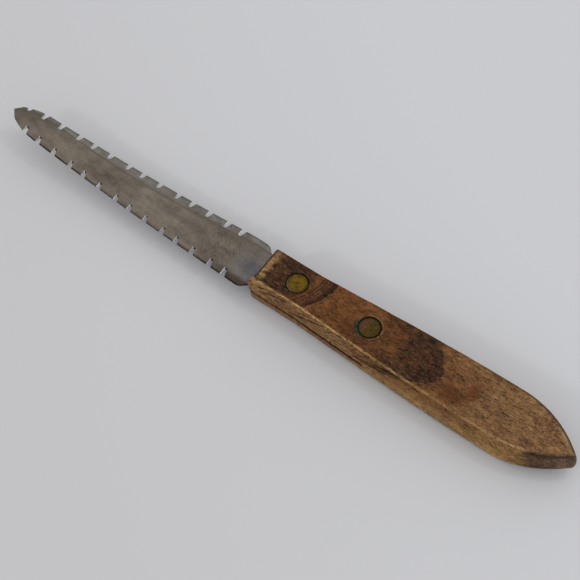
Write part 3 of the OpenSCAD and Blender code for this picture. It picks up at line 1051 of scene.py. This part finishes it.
def blade_half(b):
    """Half of the blade's outline, from the tang's end to the tip, as (place, way out) pairs.
    A place is (distance in front of the handle, distance from the middle line)."""
    eighth = math.pi / 4
    tang_y = b.tang_width / 2
    neck = Vector((b.neck - b.neck_radius * math.tan(eighth / 2), tang_y + b.neck_radius))
    shoulder = Vector((b.neck + b.heel_width / 2 - tang_y
                       + b.shoulder_radius * math.tan(eighth / 2),
                       b.heel_width / 2 - b.shoulder_radius))
    tip_from = Vector((b.reach - b.tip, edge_half(b, b.reach - b.tip)))
    tip = tip_from - b.tip_radius * Vector((math.sin(b.taper), math.cos(b.taper)))
    away = (b.reach - tip.x) * math.sin(b.point) - tip.y * math.cos(b.point)
    turn = b.point - math.acos(away / b.tip_radius)
    # The neck is a hollow corner, so its points look back at its centre
    hollow = turn_points(neck, -b.neck_radius, 0, -eighth, NECK_STEPS)
    arc = turn_points(tip, b.tip_radius, b.taper, turn, TIP_STEPS)
    heel = Vector((b.heel, b.heel_width / 2))
    pieces = [
        run_points(Vector((-b.tang, tang_y)), Vector((neck.x, tang_y)), TANG_STEP),
        hollow,
        turn_points(shoulder, b.shoulder_radius, -eighth, 0, SHOULDER_STEPS),
        run_points(Vector((shoulder.x, heel.y)), heel, BLADE_STEP),
        run_points(heel, tip_from, BLADE_STEP),
        arc,
        run_points(arc[-1][0], Vector((b.reach, 0)), BLADE_STEP),
    ]
    outline = []
    for piece in pieces:
        skip = 1 if outline and (outline[-1][0] - piece[0][0]).length < 0.01 else 0
        outline.extend(piece[skip:])
    return outline


def bevel_width(b, u):
    """Width of the bevel at a distance in front of the handle. It is widest halfway along, and it
    narrows before the tip and again at the point."""
    share = (u - b.heel) / (b.reach - b.heel - BULGE_END)
    middle = math.sin(math.pi * min(max(share, 0.0), 1.0))
    fade = 1 - 0.3 * ramp(u, *(b.reach - mm for mm in BEVEL_NARROWS))
    end = 1 - 0.7 * ramp(u, *(b.reach - mm for mm in POINT_NARROWS))
    return (b.bevel + b.bevel_bulge * middle) * fade * end


def bevel_line(b, place, way):
    """Where the bevel begins, across from a place in the outline. It runs on straight past the
    shoulders, and follows the outline round the tip."""
    u, w = place
    width = bevel_width(b, u)
    if u < b.reach - b.tip:
        return Vector((u, min(w, edge_half(b, u) - width)))
    inner = place - way * width
    return Vector((min(inner.x, u), max(inner.y, 0.0)))


def lift(b, u):
    """How far the bend lifts the steel at a distance in front of the handle"""
    past = max(u - b.straight, 0.0)
    return b.bend - math.sqrt(b.bend ** 2 - past ** 2)


def blade_blank(b):
    """The steel with its bevels, flat and not yet notched"""
    bm = bmesh.new()
    half, thin = b.steel / 2, b.edge / 2
    rows = {1: [], -1: []}
    for place, way in blade_half(b):
        inner = bevel_line(b, place, way)
        share = min((place - inner).length / bevel_width(b, place.x), 1.0)
        edge_z = half - (half - thin) * share
        side = [Vector((inner.x, inner.y * k / (FLAT_STEPS / 2), half))
                for k in range(FLAT_STEPS // 2 + 1)]
        for t in BEVEL_STOPS:
            spot = inner.lerp(place, t)
            side.append(Vector((spot.x, spot.y, half + (edge_z - half) * t)))
        row = [Vector((p.x, -p.y, p.z)) for p in side[:0:-1]] + side
        for face in rows:
            rows[face].append([bm.verts.new((-p.x, p.y, face * p.z)) for p in row])
    for lines in rows.values():
        for one, two in zip(lines, lines[1:]):
            for k in range(len(one) - 1):
                bm.faces.new((one[k], one[k + 1], two[k + 1], two[k]))
    top, low = rows[1], rows[-1]
    for one, two, three, four in zip(top, top[1:], low, low[1:]):
        for k in (0, -1):
            bm.faces.new((one[k], two[k], four[k], three[k]))
    for k in range(len(top[0]) - 1):
        bm.faces.new((top[0][k], top[0][k + 1], low[0][k + 1], low[0][k]))
    tidy(bm)
    bmesh.ops.translate(bm, vec=(FRONT_X, 0, 0), verts=bm.verts)
    return mesh_from("blade_blank", bm)


def notch_punch(n, steel, up):
    """The punch for one notch: its root at y = 0, square towards the tip and slanted towards the
    handle. Its mouth lies where the edge is at the deepest notch, and rounds the corners of the
    teeth there. The wall towards the tip and the root lean, so that the notch is wider on the
    side that is up."""
    bm = bmesh.new()
    top = n.deep + 1.0
    tan = math.tan(n.slant)
    root_r = 0.12
    steps = 5
    left, right = [], []
    for i in range(steps + 1):
        t = math.pi / 2 * i / steps
        ease = n.worn * (1 - math.cos(t))
        height = n.deep - n.worn * (1 - math.sin(t))
        right.append((ease, height))
        left.append((-n.root - height * tan - ease, height))
    rows = []
    for z in (-1, 1):
        out = n.lean * up * z / steel
        outline = [(out, root_r - out), (out - root_r, -out), (-n.root + root_r, -out),
                   (-n.root - (root_r - out) * tan, root_r - out), *left, (left[-1][0], top),
                   (right[-1][0] + out, top), *((x + out, y) for x, y in right[::-1])]
        rows.append([bm.verts.new((-x, y, z)) for x, y in outline])
    low, high = rows
    bm.faces.new(low)
    bm.faces.new(high)
    for i in range(len(low)):
        k = (i + 1) % len(low)
        bm.faces.new((low[i], low[k], high[k], high[i]))
    bmesh.ops.recalc_face_normals(bm, faces=bm.faces)
    return mesh_from("notch_punch", bm)


def new_tree(name, inputs):
    """A Geometry Nodes tree with named inputs, and what they give by name: a Number each, or a
    socket where it isn't a number"""
    tree = bpy.data.node_groups.new(name, "GeometryNodeTree")
    for label, kind in inputs:
        tree.interface.new_socket(label, in_out="INPUT", socket_type="NodeSocket" + kind)
    tree.interface.new_socket("Geometry", in_out="OUTPUT", socket_type="NodeSocketGeometry")
    given = dict(add(tree, "NodeGroupInput").outputs.items())
    for label, kind in inputs:
        if kind in ("Int", "Float"):
            given[label] = Number(tree, given[label])
    return tree, given


def notch_row_tree():
    """Sets the punch along one edge, in gangs of three. The notch nearest the handle is the last
    of its gang, so the feed comes next. The notches are shallowest well in front of the handle,
    and deeper by the square of the distance from there."""
    tree, given = new_tree("notch_row", [
        ("Punch", "Object"), ("Count", "Int"), ("Handle Front", "Float"), ("First", "Float"),
        ("Feed", "Float"), ("Step A", "Float"), ("Step B", "Float"), ("Heel", "Float"),
        ("Half Width", "Float"), ("Taper", "Float"), ("Deep", "Float"), ("Shallow", "Float"),
        ("Deepest", "Float"), ("Shallowest", "Float"), ("Turned Over", "Float"),
        ("Material", "Material")])

    feed, step_a, step_b = given["Feed"], given["Step A"], given["Step B"]
    deep, shallow, shallowest = given["Deep"], given["Shallow"], given["Shallowest"]
    number = Number(tree, add(tree, "GeometryNodeInputIndex").outputs[0])
    # The steps repeat every three notches: how often they have done so, and the notches since
    repeats = ((number + 0.5) / 3.0).after("FLOOR")
    since = number - repeats * 3.0
    pitch = feed + (step_a + step_b)
    out = given["First"] + repeats * pitch + ((since > 0.5) * feed + (since > 1.5) * step_a)
    from_low = (out - shallowest) / (given["Deepest"] - shallowest)
    depth = shallow + (deep - shallow) * (from_low * from_low)
    fall = (out - given["Heel"]) * given["Taper"].after("TANGENT")
    root = given["Half Width"] - fall - depth
    spot = add(tree, "ShaderNodeCombineXYZ", {0: given["Handle Front"] - out, 1: root})
    line = add(tree, "GeometryNodeMeshLine", {"Count": given["Count"]})
    spread = add(tree, "GeometryNodeSetPosition", {"Geometry": line.outputs[0],
                                                   "Position": spot.outputs[0]})
    punch = add(tree, "GeometryNodeObjectInfo", {"Object": given["Punch"]})
    tilt = add(tree, "ShaderNodeCombineXYZ", {2: given["Taper"]})
    copies = add(tree, "GeometryNodeInstanceOnPoints", {
        "Points": spread.outputs[0], "Instance": punch.outputs["Geometry"],
        "Rotation": tilt.outputs[0]})
    half_turn = add(tree, "ShaderNodeCombineXYZ", {0: given["Turned Over"]})
    turned_over = add(tree, "GeometryNodeTransform", {"Geometry": copies.outputs[0],
                                                      "Rotation": half_turn.outputs[0]})
    real = add(tree, "GeometryNodeRealizeInstances", {0: turned_over.outputs[0]})
    coated = add(tree, "GeometryNodeSetMaterial", {"Geometry": real.outputs[0],
                                                   "Material": given["Material"]})
    add(tree, "NodeGroupOutput", {0: coated.outputs[0]})
    return tree


def notch_rows(b, n, material):
    """What the punch takes out of the two edges, as one mesh for each. The near row is a far one
    turned over, so its punch leans the other way."""
    tree = notch_row_tree()
    values = {
        "Count": n.count, "Handle Front": FRONT_X * MM, "Feed": n.feed * MM,
        "Step A": n.step_a * MM, "Step B": n.step_b * MM, "Heel": b.heel * MM,
        "Half Width": b.heel_width / 2 * MM, "Taper": b.taper, "Deep": n.deep * MM,
        "Shallow": n.shallow * MM, "Deepest": n.near_first * MM, "Shallowest": n.low * MM,
        "Material": material}
    rows = []
    for first, up, turn in ((n.far_first, 1, 0.0), (n.near_first, -1, math.pi)):
        punch = bpy.data.objects.new("notch_punch", notch_punch(n, b.steel, up))
        own = {"Punch": punch, "First": first * MM, "Turned Over": turn}
        rows.append(grown(tree, values | own))
        bpy.data.objects.remove(punch)
    return rows


def tang_holes(r):
    """The bores in the tang for the rivets. The cutter reaches well past both faces."""
    bm = bmesh.new()
    bore = r.tube / 2 + r.play
    for place in rivet_places():
        turned(bm, [(0, -2), (bore, -2), (bore, 2), (0, 2)], r.sides, place)
    tidy(bm)
    return mesh_from("tang_holes", bm)


def bend_blade(mesh, b, height):
    """Lifts the blade to its place in the handle, bends it up towards the tip and lets it stray a
    little to the far side. Its flat faces are a fiftieth of a millimetre uneven."""
    for vert in mesh.vertices:
        p = vert.co / MM
        u = FRONT_X - p.x
        dent = 0.02 * noise.noise(Vector((p.x / 9, p.y / 4, 1)))
        vert.co.y = (p.y + b.sweep * (0.7 * ramp(u, 0, 10) + 0.3 * ramp(u, 30, 85))) * MM
        vert.co.z = (p.z + lift(b, u) + height + dent) * MM


# What the steel's material reads, per vertex and per face
STEEL_FIELDS, STEEL_WALLS = ("far_bevel", "near_bevel", "line", "rim"), ("bare_wall", "dark_wall")


def paint_blade(mesh, b):
    """Stores where the bevels, the inner line of the far one and the rims of the flat blank lie,
    and how much painted glint and painted shade the walls round it get"""
    fields = {name: [] for name in STEEL_FIELDS}
    for vert in mesh.vertices:
        x, y, _ = vert.co / MM
        u = FRONT_X - x
        width = bevel_width(b, u)
        inside = edge_half(b, u) - abs(y)
        bevel = 1 - ramp(inside, width - 0.15, width + 0.15)
        fields["far_bevel"].append(bevel if y > 0 else 0.0)
        fields["near_bevel"].append(bevel if y < 0 else 0.0)
        fields["line"].append(1 - ramp(abs(inside - width), 0.15, 0.6) if y > 0 else 0.0)
        # The near edge is darkest at the heel and towards the tip
        rim = 0.45 if y > 0 else 0.8 + 0.2 * max(ramp(u, 60, 66), 1 - ramp(u, 26, 34))
        fields["rim"].append((1 - ramp(inside, 0.05, 0.5)) * rim)
    for name, values in fields.items():
        write_field(mesh, name, values)
    walls = {name: [] for name in STEEL_WALLS}
    for face in mesh.polygons:
        x, y, _ = face.center / MM
        upright = abs(face.normal.z) < 0.5
        faces_handle = face.normal.x > 0.6 and FRONT_X - x > b.heel
        root = edge_half(b, FRONT_X - x) - abs(y) > 0.6 and abs(face.normal.y) > 0.6
        # Bare steel walls that face the handle get a painted glint
        bare = 0.75 + 0.25 * noise.noise(Vector((x / 4, y, 2)))
        walls["bare_wall"].append(bare if upright and faces_handle else 0.0)
        # Every upright wall gets painted shade, most at the roots and on the near side
        walls["dark_wall"].append(upright * (1.0 if root or y < 0 else 0.7))
    for name, values in walls.items():
        write_field(mesh, name, values, "FACE")


def steel_material(colours):
    """High-carbon spring steel, blanked, ground and never polished again. To the eye: a dull
    grey-brown patina from years of fruit acid, speckled, with fine scratches along the blade and
    a greyer, cooler bevel on the far side."""
    material, tree, grid = start_material("patinated_carbon_steel")
    fields = stored_fields(tree, (*STEEL_FIELDS, *STEEL_WALLS))
    # Clouds 11 mm long, patches of 3 mm, and speckles of a millimetre
    clouds = grains(tree, grid, (0.09, 0.2, 0.2), 4.0, 0.6)
    patches = grains(tree, grid, (0.25, 0.4, 0.4), 6.0, 0.75, (7, 2, 1))
    speckle = grains(tree, grid, (0.9, 0.9, 0.9), 4.0, 0.7, (2, 9, 4))
    # Grinding marks 12 mm long and scouring marks 3 mm long across them, both drawn 0.3 mm wide so
    # that they show
    marks = grains(tree, grid, (0.08, 3.2, 1.0), 3.0, 0.7)
    across = add(tree, "ShaderNodeVectorRotate", {"Vector": grid, "Angle": math.radians(58)},
                 rotation_type="Z_AXIS").outputs[0]
    scratches = grains(tree, across, (0.3, 3.2, 1.0), 3.0, 0.65)
    spot = add(tree, "ShaderNodeSeparateXYZ", {0: grid}).outputs
    along = spot["X"]
    heel = product(tree, between(tree, along, -17.5, -10.0), between(tree, spot["Y"], 6.0, 0.0))
    # Stains lie in front of the heel, fine ones and some in slanted rows
    front = product(tree, between(tree, along, -30.0, -24.0), between(tree, along, -13.0, -19.0))
    scoured = product(tree, between(tree, along, -60.0, -40.0),
                      between(tree, scratches, 0.6, 0.7, 0.4))
    bevel_line_dark = product(tree, between(tree, fields["line"], 0.5, 1.2),
                              between(tree, patches, 0.35, 0.55))
    # The near bevel is darker behind the heel
    near_heel = product(tree, fields["near_bevel"], between(tree, along, -21.0, -14.0))
    tint = layered(tree, (*colours.steel, 1), [
        (between(tree, clouds, 0.4, 0.75, 0.6), colours.stain),
        (product(tree, heel, between(tree, clouds, 0.2, 0.5)), colours.heel),
        (product(tree, fields["far_bevel"], between(tree, patches, 0.3, 0.6)),
         colours.steel_cool),
        (between(tree, marks, 0.56, 0.72, 0.35), colours.stain),
        (between(tree, along, -78.0, -92.0, 0.2), colours.stain),
        (scoured, colours.stain),
        (between(tree, speckle, 0.6, 0.72, 0.55), colours.stain),
        (product(tree, front, between(tree, scratches, 0.5, 0.65, 0.5)), colours.stain),
        (product(tree, front, between(tree, speckle, 0.52, 0.62, 0.45)), colours.stain),
        (bevel_line_dark, colours.stain),
        (near_heel, colours.stain),
        (product(tree, fields["rim"], between(tree, patches, 0.2, 0.4)), colours.grime),
        # Painted shade on the upright walls
        (fields["dark_wall"], colours.grime),
        # A painted glint on the bare walls that face the handle
        (fields["bare_wall"], colours.bright),
    ])
    # The glinting walls are made lighter still, as part of the painted glint
    lightness = summed(tree, 0.05, [(patches, 1.3), (speckle, 0.6), (fields["bare_wall"], 0.12)])
    varied = add(tree, "ShaderNodeHueSaturation", {"Color": tint, "Value": lightness}).outputs[0]
    rough = add(tree, "ShaderNodeMapRange", {"Value": clouds, "To Min": 0.42, "To Max": 0.62})
    relief = layered(tree, (0.5, 0.5, 0.5, 1), [(marks, (1, 1, 1)),
                                                (between(tree, speckle, 0.6, 0.75), (0, 0, 0))])
    bump = add(tree, "ShaderNodeBump", {"Strength": 0.35, "Distance": 0.03 * MM,
                                        "Height": relief})
    # The bare walls are painted near-white and not metallic: a painted glint on the bare steel,
    # lighter than the floor beside them
    metallic = summed(tree, 0.9, [(fields["bare_wall"], -0.9)])
    surface = add(tree, "ShaderNodeBsdfPrincipled", {
        "Base Color": varied, "Metallic": metallic, "Roughness": rough.outputs[0],
        "Normal": bump.outputs[0]})
    add(tree, "ShaderNodeOutputMaterial", {"Surface": surface.outputs[0]})
    return material


class KNIFE_OT_make_blade(bpy.types.Operator):
    """Make the blade with its tang: ground, notched along both edges and bent up"""

    bl_idname = "knife.make_blade"
    bl_label = "Make blade"

    def execute(self, context):
        scene = context.scene
        b, n, r = (Sizes(group) for group in (scene.knife_blade, scene.knife_notches,
                                              scene.knife_rivets))
        material = steel_material(scene.knife_finish)
        mesh = blade_blank(b)
        for cutter in (*notch_rows(b, n, material), tang_holes(r)):
            mesh = cut(mesh, cutter)
        paint_blade(mesh, b)
        bend_blade(mesh, b, scene.knife_handle.thickness / MM / 2)
        finish_piece("steel_blade", mesh, material, "blade")
        return {"FINISHED"}


# Rivets

def rivet_profiles(s, r):
    """Half sections of the two halves of a rivet, as (radius, height over the table) points.
    The post's head is in the upper face, and the socket's in the lower. A head is crowned, so its
    rim lies a little deeper than its middle."""
    head, rim = r.head / 2, r.rim
    post, tube = r.post / 2, r.tube / 2
    bore = post + r.play
    crown, chamfer = 0.06, 0.3
    rings, rim_steps = 6, 4
    face = [(head - rim) * i / rings for i in range(rings + 1)]
    dome = [(radius, crown * (radius / head) ** 2) for radius in face]
    corner = [(head - rim * (1 - math.sin(t)), crown + rim * (1 - math.cos(t)))
              for t in (math.pi / 2 * i / rim_steps for i in range(1, rim_steps + 1))]
    under = r.head_thickness
    top = s.thickness
    head_up = [(radius, top - depth) for radius, depth in dome + corner]
    end = under + r.end_gap
    solid = head_up + [(head, top - under), (post, top - under), (post, end + chamfer),
                       (post - chamfer, end), (0, end)]
    mouth = top - under - r.end_gap
    hollow = dome + corner + [(head, under), (tube, under), (tube, mouth), (bore, mouth),
                              (bore, under), (0, under)]
    return solid, hollow


def rivet_tree():
    """Turns a half section about its upright axis and sets it in its place, with the small
    dimples that setting the rivet left in its face"""
    tree, given = new_tree("turned_rivet_half", [
        ("Section", "Object"), ("Points", "Int"), ("Sides", "Int"), ("Place", "Vector"),
        ("Middle", "Float"), ("Dimples", "Float"), ("Seed", "Float"), ("Material", "Material")])

    columns = given["Sides"] + 1.0
    sheet = add(tree, "GeometryNodeMeshGrid", {"Vertices X": given["Points"],
                                               "Vertices Y": columns})
    number = Number(tree, add(tree, "GeometryNodeInputIndex").outputs[0])
    row = ((number + 0.5) / columns).after("FLOOR")
    column = number - row * columns
    section = add(tree, "GeometryNodeObjectInfo", {"Object": given["Section"]})
    place = add(tree, "GeometryNodeInputPosition").outputs[0]
    sample = add(tree, "GeometryNodeSampleIndex", {
        "Geometry": section.outputs["Geometry"], "Value": place, "Index": row},
        data_type="FLOAT_VECTOR")
    turn = column / given["Sides"] * (2 * math.pi)
    spun = add(tree, "ShaderNodeVectorRotate", {"Vector": sample.outputs[0], "Angle": turn},
               rotation_type="Z_AXIS")
    ring = add(tree, "GeometryNodeSetPosition", {"Geometry": sheet.outputs["Mesh"],
                                                 "Position": spun.outputs[0]})
    closed = add(tree, "GeometryNodeMergeByDistance", {"Geometry": ring.outputs[0],
                                                       "Distance": WELD * MM})
    # Dimples about 1 mm across draw each face a little towards the middle of the handle
    spots = add(tree, "ShaderNodeTexNoise", {"Vector": place, "W": given["Seed"],
                                             "Scale": 0.9 / MM, "Detail": 1.0},
                noise_dimensions="4D")
    height = add(tree, "ShaderNodeSeparateXYZ", {0: place}).outputs["Z"]
    share = Number(tree, spots.outputs["Fac"]) * given["Dimples"] / given["Middle"]
    sink = (given["Middle"] - height) * share
    inwards = add(tree, "ShaderNodeCombineXYZ", {2: sink})
    dimpled = add(tree, "GeometryNodeSetPosition", {"Geometry": closed.outputs[0],
                                                    "Offset": inwards.outputs[0]})
    seated = add(tree, "GeometryNodeTransform", {"Geometry": dimpled.outputs[0],
                                                 "Translation": given["Place"]})
    real = add(tree, "GeometryNodeRealizeInstances", {0: seated.outputs[0]})
    coated = add(tree, "GeometryNodeSetMaterial", {"Geometry": real.outputs[0],
                                                   "Material": given["Material"]})
    add(tree, "NodeGroupOutput", {0: coated.outputs[0]})
    return tree


def section_object(name, profile):
    """A half section as a string of points for the rivet tree"""
    mesh = bpy.data.meshes.new(name)
    mesh.from_pydata([(radius * MM, 0, height * MM) for radius, height in profile],
                     [(i, i + 1) for i in range(len(profile) - 1)], [])
    return bpy.data.objects.new(name, mesh)


def brass_material(colours):
    """Cutler's brass, once polished flush with the wood and left to tarnish. To the eye: dull
    olive yellow with scratches, darker round the rim, with a painted highlight on one side of the
    front rivet's rim, and on the rear rivet a coppery side where the zinc has gone."""
    material, tree, grid = start_material("tarnished_brass")
    front, rear = rivet_places()
    clouds = grains(tree, grid, (0.5, 0.5, 0.5), 4.0, 0.65)
    # Slanted scratches 3 mm long, drawn 0.25 mm wide so that they show
    slanted = add(tree, "ShaderNodeVectorRotate", {"Vector": grid, "Angle": math.radians(-25)},
                  rotation_type="Z_AXIS").outputs[0]
    scratches = grains(tree, slanted, (0.35, 4.0, 4.0), 3.0, 0.65)
    along = add(tree, "ShaderNodeSeparateXYZ", {0: grid}).outputs["X"]
    at_rear = between(tree, along, (front.x + rear.x) / 2, rear.x - 4)
    coppery = product(tree, between(tree, along, rear.x - 0.2, rear.x - 1.4), at_rear,
                      between(tree, clouds, 0.3, 0.6, 0.9))
    rings = [from_axis(tree, grid, place) for place in (front, rear)]
    dark_rims = [product(tree, between(tree, ring, 2.3, 3.0, 0.8), between(tree, ring, 3.4, 3.3))
                 for ring in rings]
    # A painted highlight on the near left of the front head's rim
    near_left = distance_along(tree, grid, front, (-0.7, -0.7, 0.0))
    painted_rim_highlight = product(tree, between(tree, near_left, 1.2, 2.4),
                         between(tree, rings[0], 2.8, 2.95, 0.5))
    tint = layered(tree, (*colours.brass, 1), [
        (between(tree, clouds, 0.4, 0.65, 0.8), colours.tarnish),
        (between(tree, scratches, 0.55, 0.7, 0.8), colours.tarnish),
        (product(tree, at_rear, between(tree, clouds, 0.0, 0.5, 0.75)), colours.tarnish),
        (coppery, colours.copper),
        (dark_rims[0], colours.tarnish),
        (dark_rims[1], colours.tarnish),
        (painted_rim_highlight, colours.rim_highlight),
    ])
    grainy = grains(tree, grid, (1.5, 1.5, 1.5), 4.0, 0.8)
    lightness = summed(tree, -0.3, [(grainy, 2.6)])
    varied = add(tree, "ShaderNodeHueSaturation", {"Color": tint, "Value": lightness}).outputs[0]
    rough = add(tree, "ShaderNodeMapRange", {"Value": clouds, "To Min": 0.35, "To Max": 0.6})
    bump = add(tree, "ShaderNodeBump", {"Strength": 0.4, "Distance": 0.03 * MM,
                                        "Height": scratches})
    surface = add(tree, "ShaderNodeBsdfPrincipled", {
        "Base Color": varied, "Metallic": 0.85, "Roughness": rough.outputs[0],
        "Normal": bump.outputs[0]})
    add(tree, "ShaderNodeOutputMaterial", {"Surface": surface.outputs[0]})
    return material


def turn_outwards(mesh):
    """Turns every face of a closed mesh outwards"""
    bm = bmesh.new()
    bm.from_mesh(mesh)
    bmesh.ops.recalc_face_normals(bm, faces=bm.faces)
    bm.to_mesh(mesh)
    bm.free()


class KNIFE_OT_make_rivets(bpy.types.Operator):
    """Turn the four halves of the two brass rivets and set them in the handle"""

    bl_idname = "knife.make_rivets"
    bl_label = "Make rivets"

    def execute(self, context):
        scene = context.scene
        s, r = Sizes(scene.knife_handle), Sizes(scene.knife_rivets)
        material = brass_material(scene.knife_finish)
        tree = rivet_tree()
        for half, profile in zip(("post", "socket"), rivet_profiles(s, r)):
            section = section_object(half + "_section", profile)
            for end, place in zip(("front", "rear"), rivet_places()):
                name = f"{end}_rivet_{half}"
                mesh = grown(tree, {
                    "Section": section, "Points": len(profile), "Sides": r.sides,
                    "Place": place * MM, "Middle": s.thickness / 2 * MM,
                    "Dimples": r.dimple * MM, "Seed": place.x, "Material": material})
                turn_outwards(mesh)
                finish_piece("brass_" + name, mesh, material, name)
            bpy.data.objects.remove(section)
        return {"FINISHED"}


# Stage

# What the camera aims at, just under the middle of the knife, and half the width of the floor, in
# millimetres
AIM = Vector((1.19, 2.42, -0.34))
FLOOR_REACH = 3000

# Where each lamp stands and how wide it is, in metres. The near one throws the shadow that falls
# away from the camera, and the far one the shadow on the near side.
NEAR_LAMP = (Vector((-0.61, -1.05, 0.875)), 0.15)
FAR_LAMP = (Vector((0.3, 0.35, 1.0)), 0.13)


def make_floor(colours):
    """A matt pale table top, a little lighter on its far side"""
    bm = bmesh.new()
    bmesh.ops.create_grid(bm, x_segments=8, y_segments=8, size=FLOOR_REACH)
    floor = bpy.data.objects.new("floor", mesh_from("floor", bm))
    bpy.context.scene.collection.objects.link(floor)
    material, tree, grid = start_material("matt_table_top")
    far = distance_along(tree, grid, (0, 0, 0), (0.6, 0.8, 0.0))
    tint = layered(tree, (*colours.floor, 1), [(between(tree, far, -70.0, 70.0),
                                                colours.floor_far)])
    surface = add(tree, "ShaderNodeBsdfPrincipled", {
        "Base Color": tint, "Roughness": 0.9, "Specular IOR Level": 0.2})
    add(tree, "ShaderNodeOutputMaterial", {"Surface": surface.outputs[0]})
    floor.data.materials.append(material)


def make_world(strength):
    """Even white light from all round"""
    world = bpy.data.worlds.new("soft_room")
    bpy.context.scene.world = world
    world.use_nodes = True
    tree = world.node_tree
    tree.nodes.clear()
    sky = add(tree, "ShaderNodeBackground", {"Color": (1.0, 1.0, 1.0, 1.0),
                                             "Strength": strength})
    add(tree, "ShaderNodeOutputWorld", {"Surface": sky.outputs[0]})


def make_lamp(name, place, size, power):
    """A square lamp that shines on the knife"""
    lamp = bpy.data.lights.new(name, "AREA")
    lamp.size = size
    lamp.energy = power
    holder = bpy.data.objects.new(name, lamp)
    bpy.context.scene.collection.objects.link(holder)
    holder.location = place
    holder.rotation_mode = "QUATERNION"
    holder.rotation_quaternion = (-place).to_track_quat("-Z", "Y")


def make_camera(view):
    """The camera, at the angle and the distance from which the photograph was taken"""
    camera = bpy.data.objects.new("camera", bpy.data.cameras.new("camera"))
    bpy.context.scene.collection.objects.link(camera)
    camera.data.lens = view.lens
    camera.data.sensor_width = 36
    camera.data.clip_start, camera.data.clip_end = 0.01, 20
    level = math.cos(view.elevation)
    back = Vector((math.sin(view.azimuth) * level, -math.cos(view.azimuth) * level,
                   math.sin(view.elevation)))
    turn = (-back).to_track_quat("-Z", "Y") @ Matrix.Rotation(-view.roll, 3, "Z").to_quaternion()
    camera.rotation_mode = "QUATERNION"
    camera.rotation_quaternion = turn
    camera.location = AIM * MM + back * view.distance
    bpy.context.scene.camera = camera


class KNIFE_OT_set_stage(bpy.types.Operator):
    """Lay a pale floor, set the lamps and place the camera as in the photograph"""

    bl_idname = "knife.set_stage"
    bl_label = "Set stage"

    def execute(self, context):
        scene = context.scene
        settings = scene.knife_stage
        scene.view_settings.view_transform = "Standard"
        make_floor(scene.knife_finish)
        make_world(settings.ambient)
        make_lamp("near_lamp", *NEAR_LAMP, settings.near_lamp)
        make_lamp("far_lamp", *FAR_LAMP, settings.far_lamp)
        make_camera(settings)
        return {"FINISHED"}


class KNIFE_PT_workshop(bpy.types.Panel):
    """The knife's sizes and colours, and the steps that make it"""

    bl_idname = "KNIFE_PT_workshop"
    bl_label = "Grapefruit knife"
    bl_space_type = "VIEW_3D"
    bl_region_type = "UI"
    bl_category = "Knife"

    def draw(self, context):
        for name, group, steps in STEPS:
            box = self.layout.box()
            box.label(text=name)
            for setting in group.__annotations__:
                box.prop(getattr(context.scene, SETTINGS[group]), setting)
            for step in steps:
                box.operator(step.bl_idname)


SETTINGS = {HandleSizes: "knife_handle", BladeSizes: "knife_blade", NotchSizes: "knife_notches",
            RivetSizes: "knife_rivets", FinishColours: "knife_finish",
            StageSettings: "knife_stage"}
STEPS = (
    ("Handle", HandleSizes, (KNIFE_OT_make_handle,)),
    ("Blade", BladeSizes, ()),
    ("Notches", NotchSizes, (KNIFE_OT_make_blade,)),
    ("Rivets", RivetSizes, (KNIFE_OT_make_rivets,)),
    ("Colours", FinishColours, ()),
    ("Stage", StageSettings, (KNIFE_OT_set_stage,)),
)
OPERATORS = (KNIFE_OT_set_stage, KNIFE_OT_make_handle, KNIFE_OT_make_blade, KNIFE_OT_make_rivets)


def register():
    """Adds the settings, the operators and the panel to Blender"""
    for cls in (*SETTINGS, *OPERATORS, KNIFE_PT_workshop):
        bpy.utils.register_class(cls)
    for group, name in SETTINGS.items():
        setattr(bpy.types.Scene, name, PointerProperty(type=group))


def unregister():
    """Takes them out again"""
    for name in SETTINGS.values():
        delattr(bpy.types.Scene, name)
    for cls in (KNIFE_PT_workshop, *reversed(OPERATORS), *reversed(list(SETTINGS))):
        bpy.utils.unregister_class(cls)


def main():
    """Makes the stage and the knife"""
    register()
    bpy.ops.knife.set_stage()
    bpy.ops.knife.make_handle()
    bpy.ops.knife.make_blade()
    bpy.ops.knife.make_rivets()


if __name__ == "__main__":
    main()
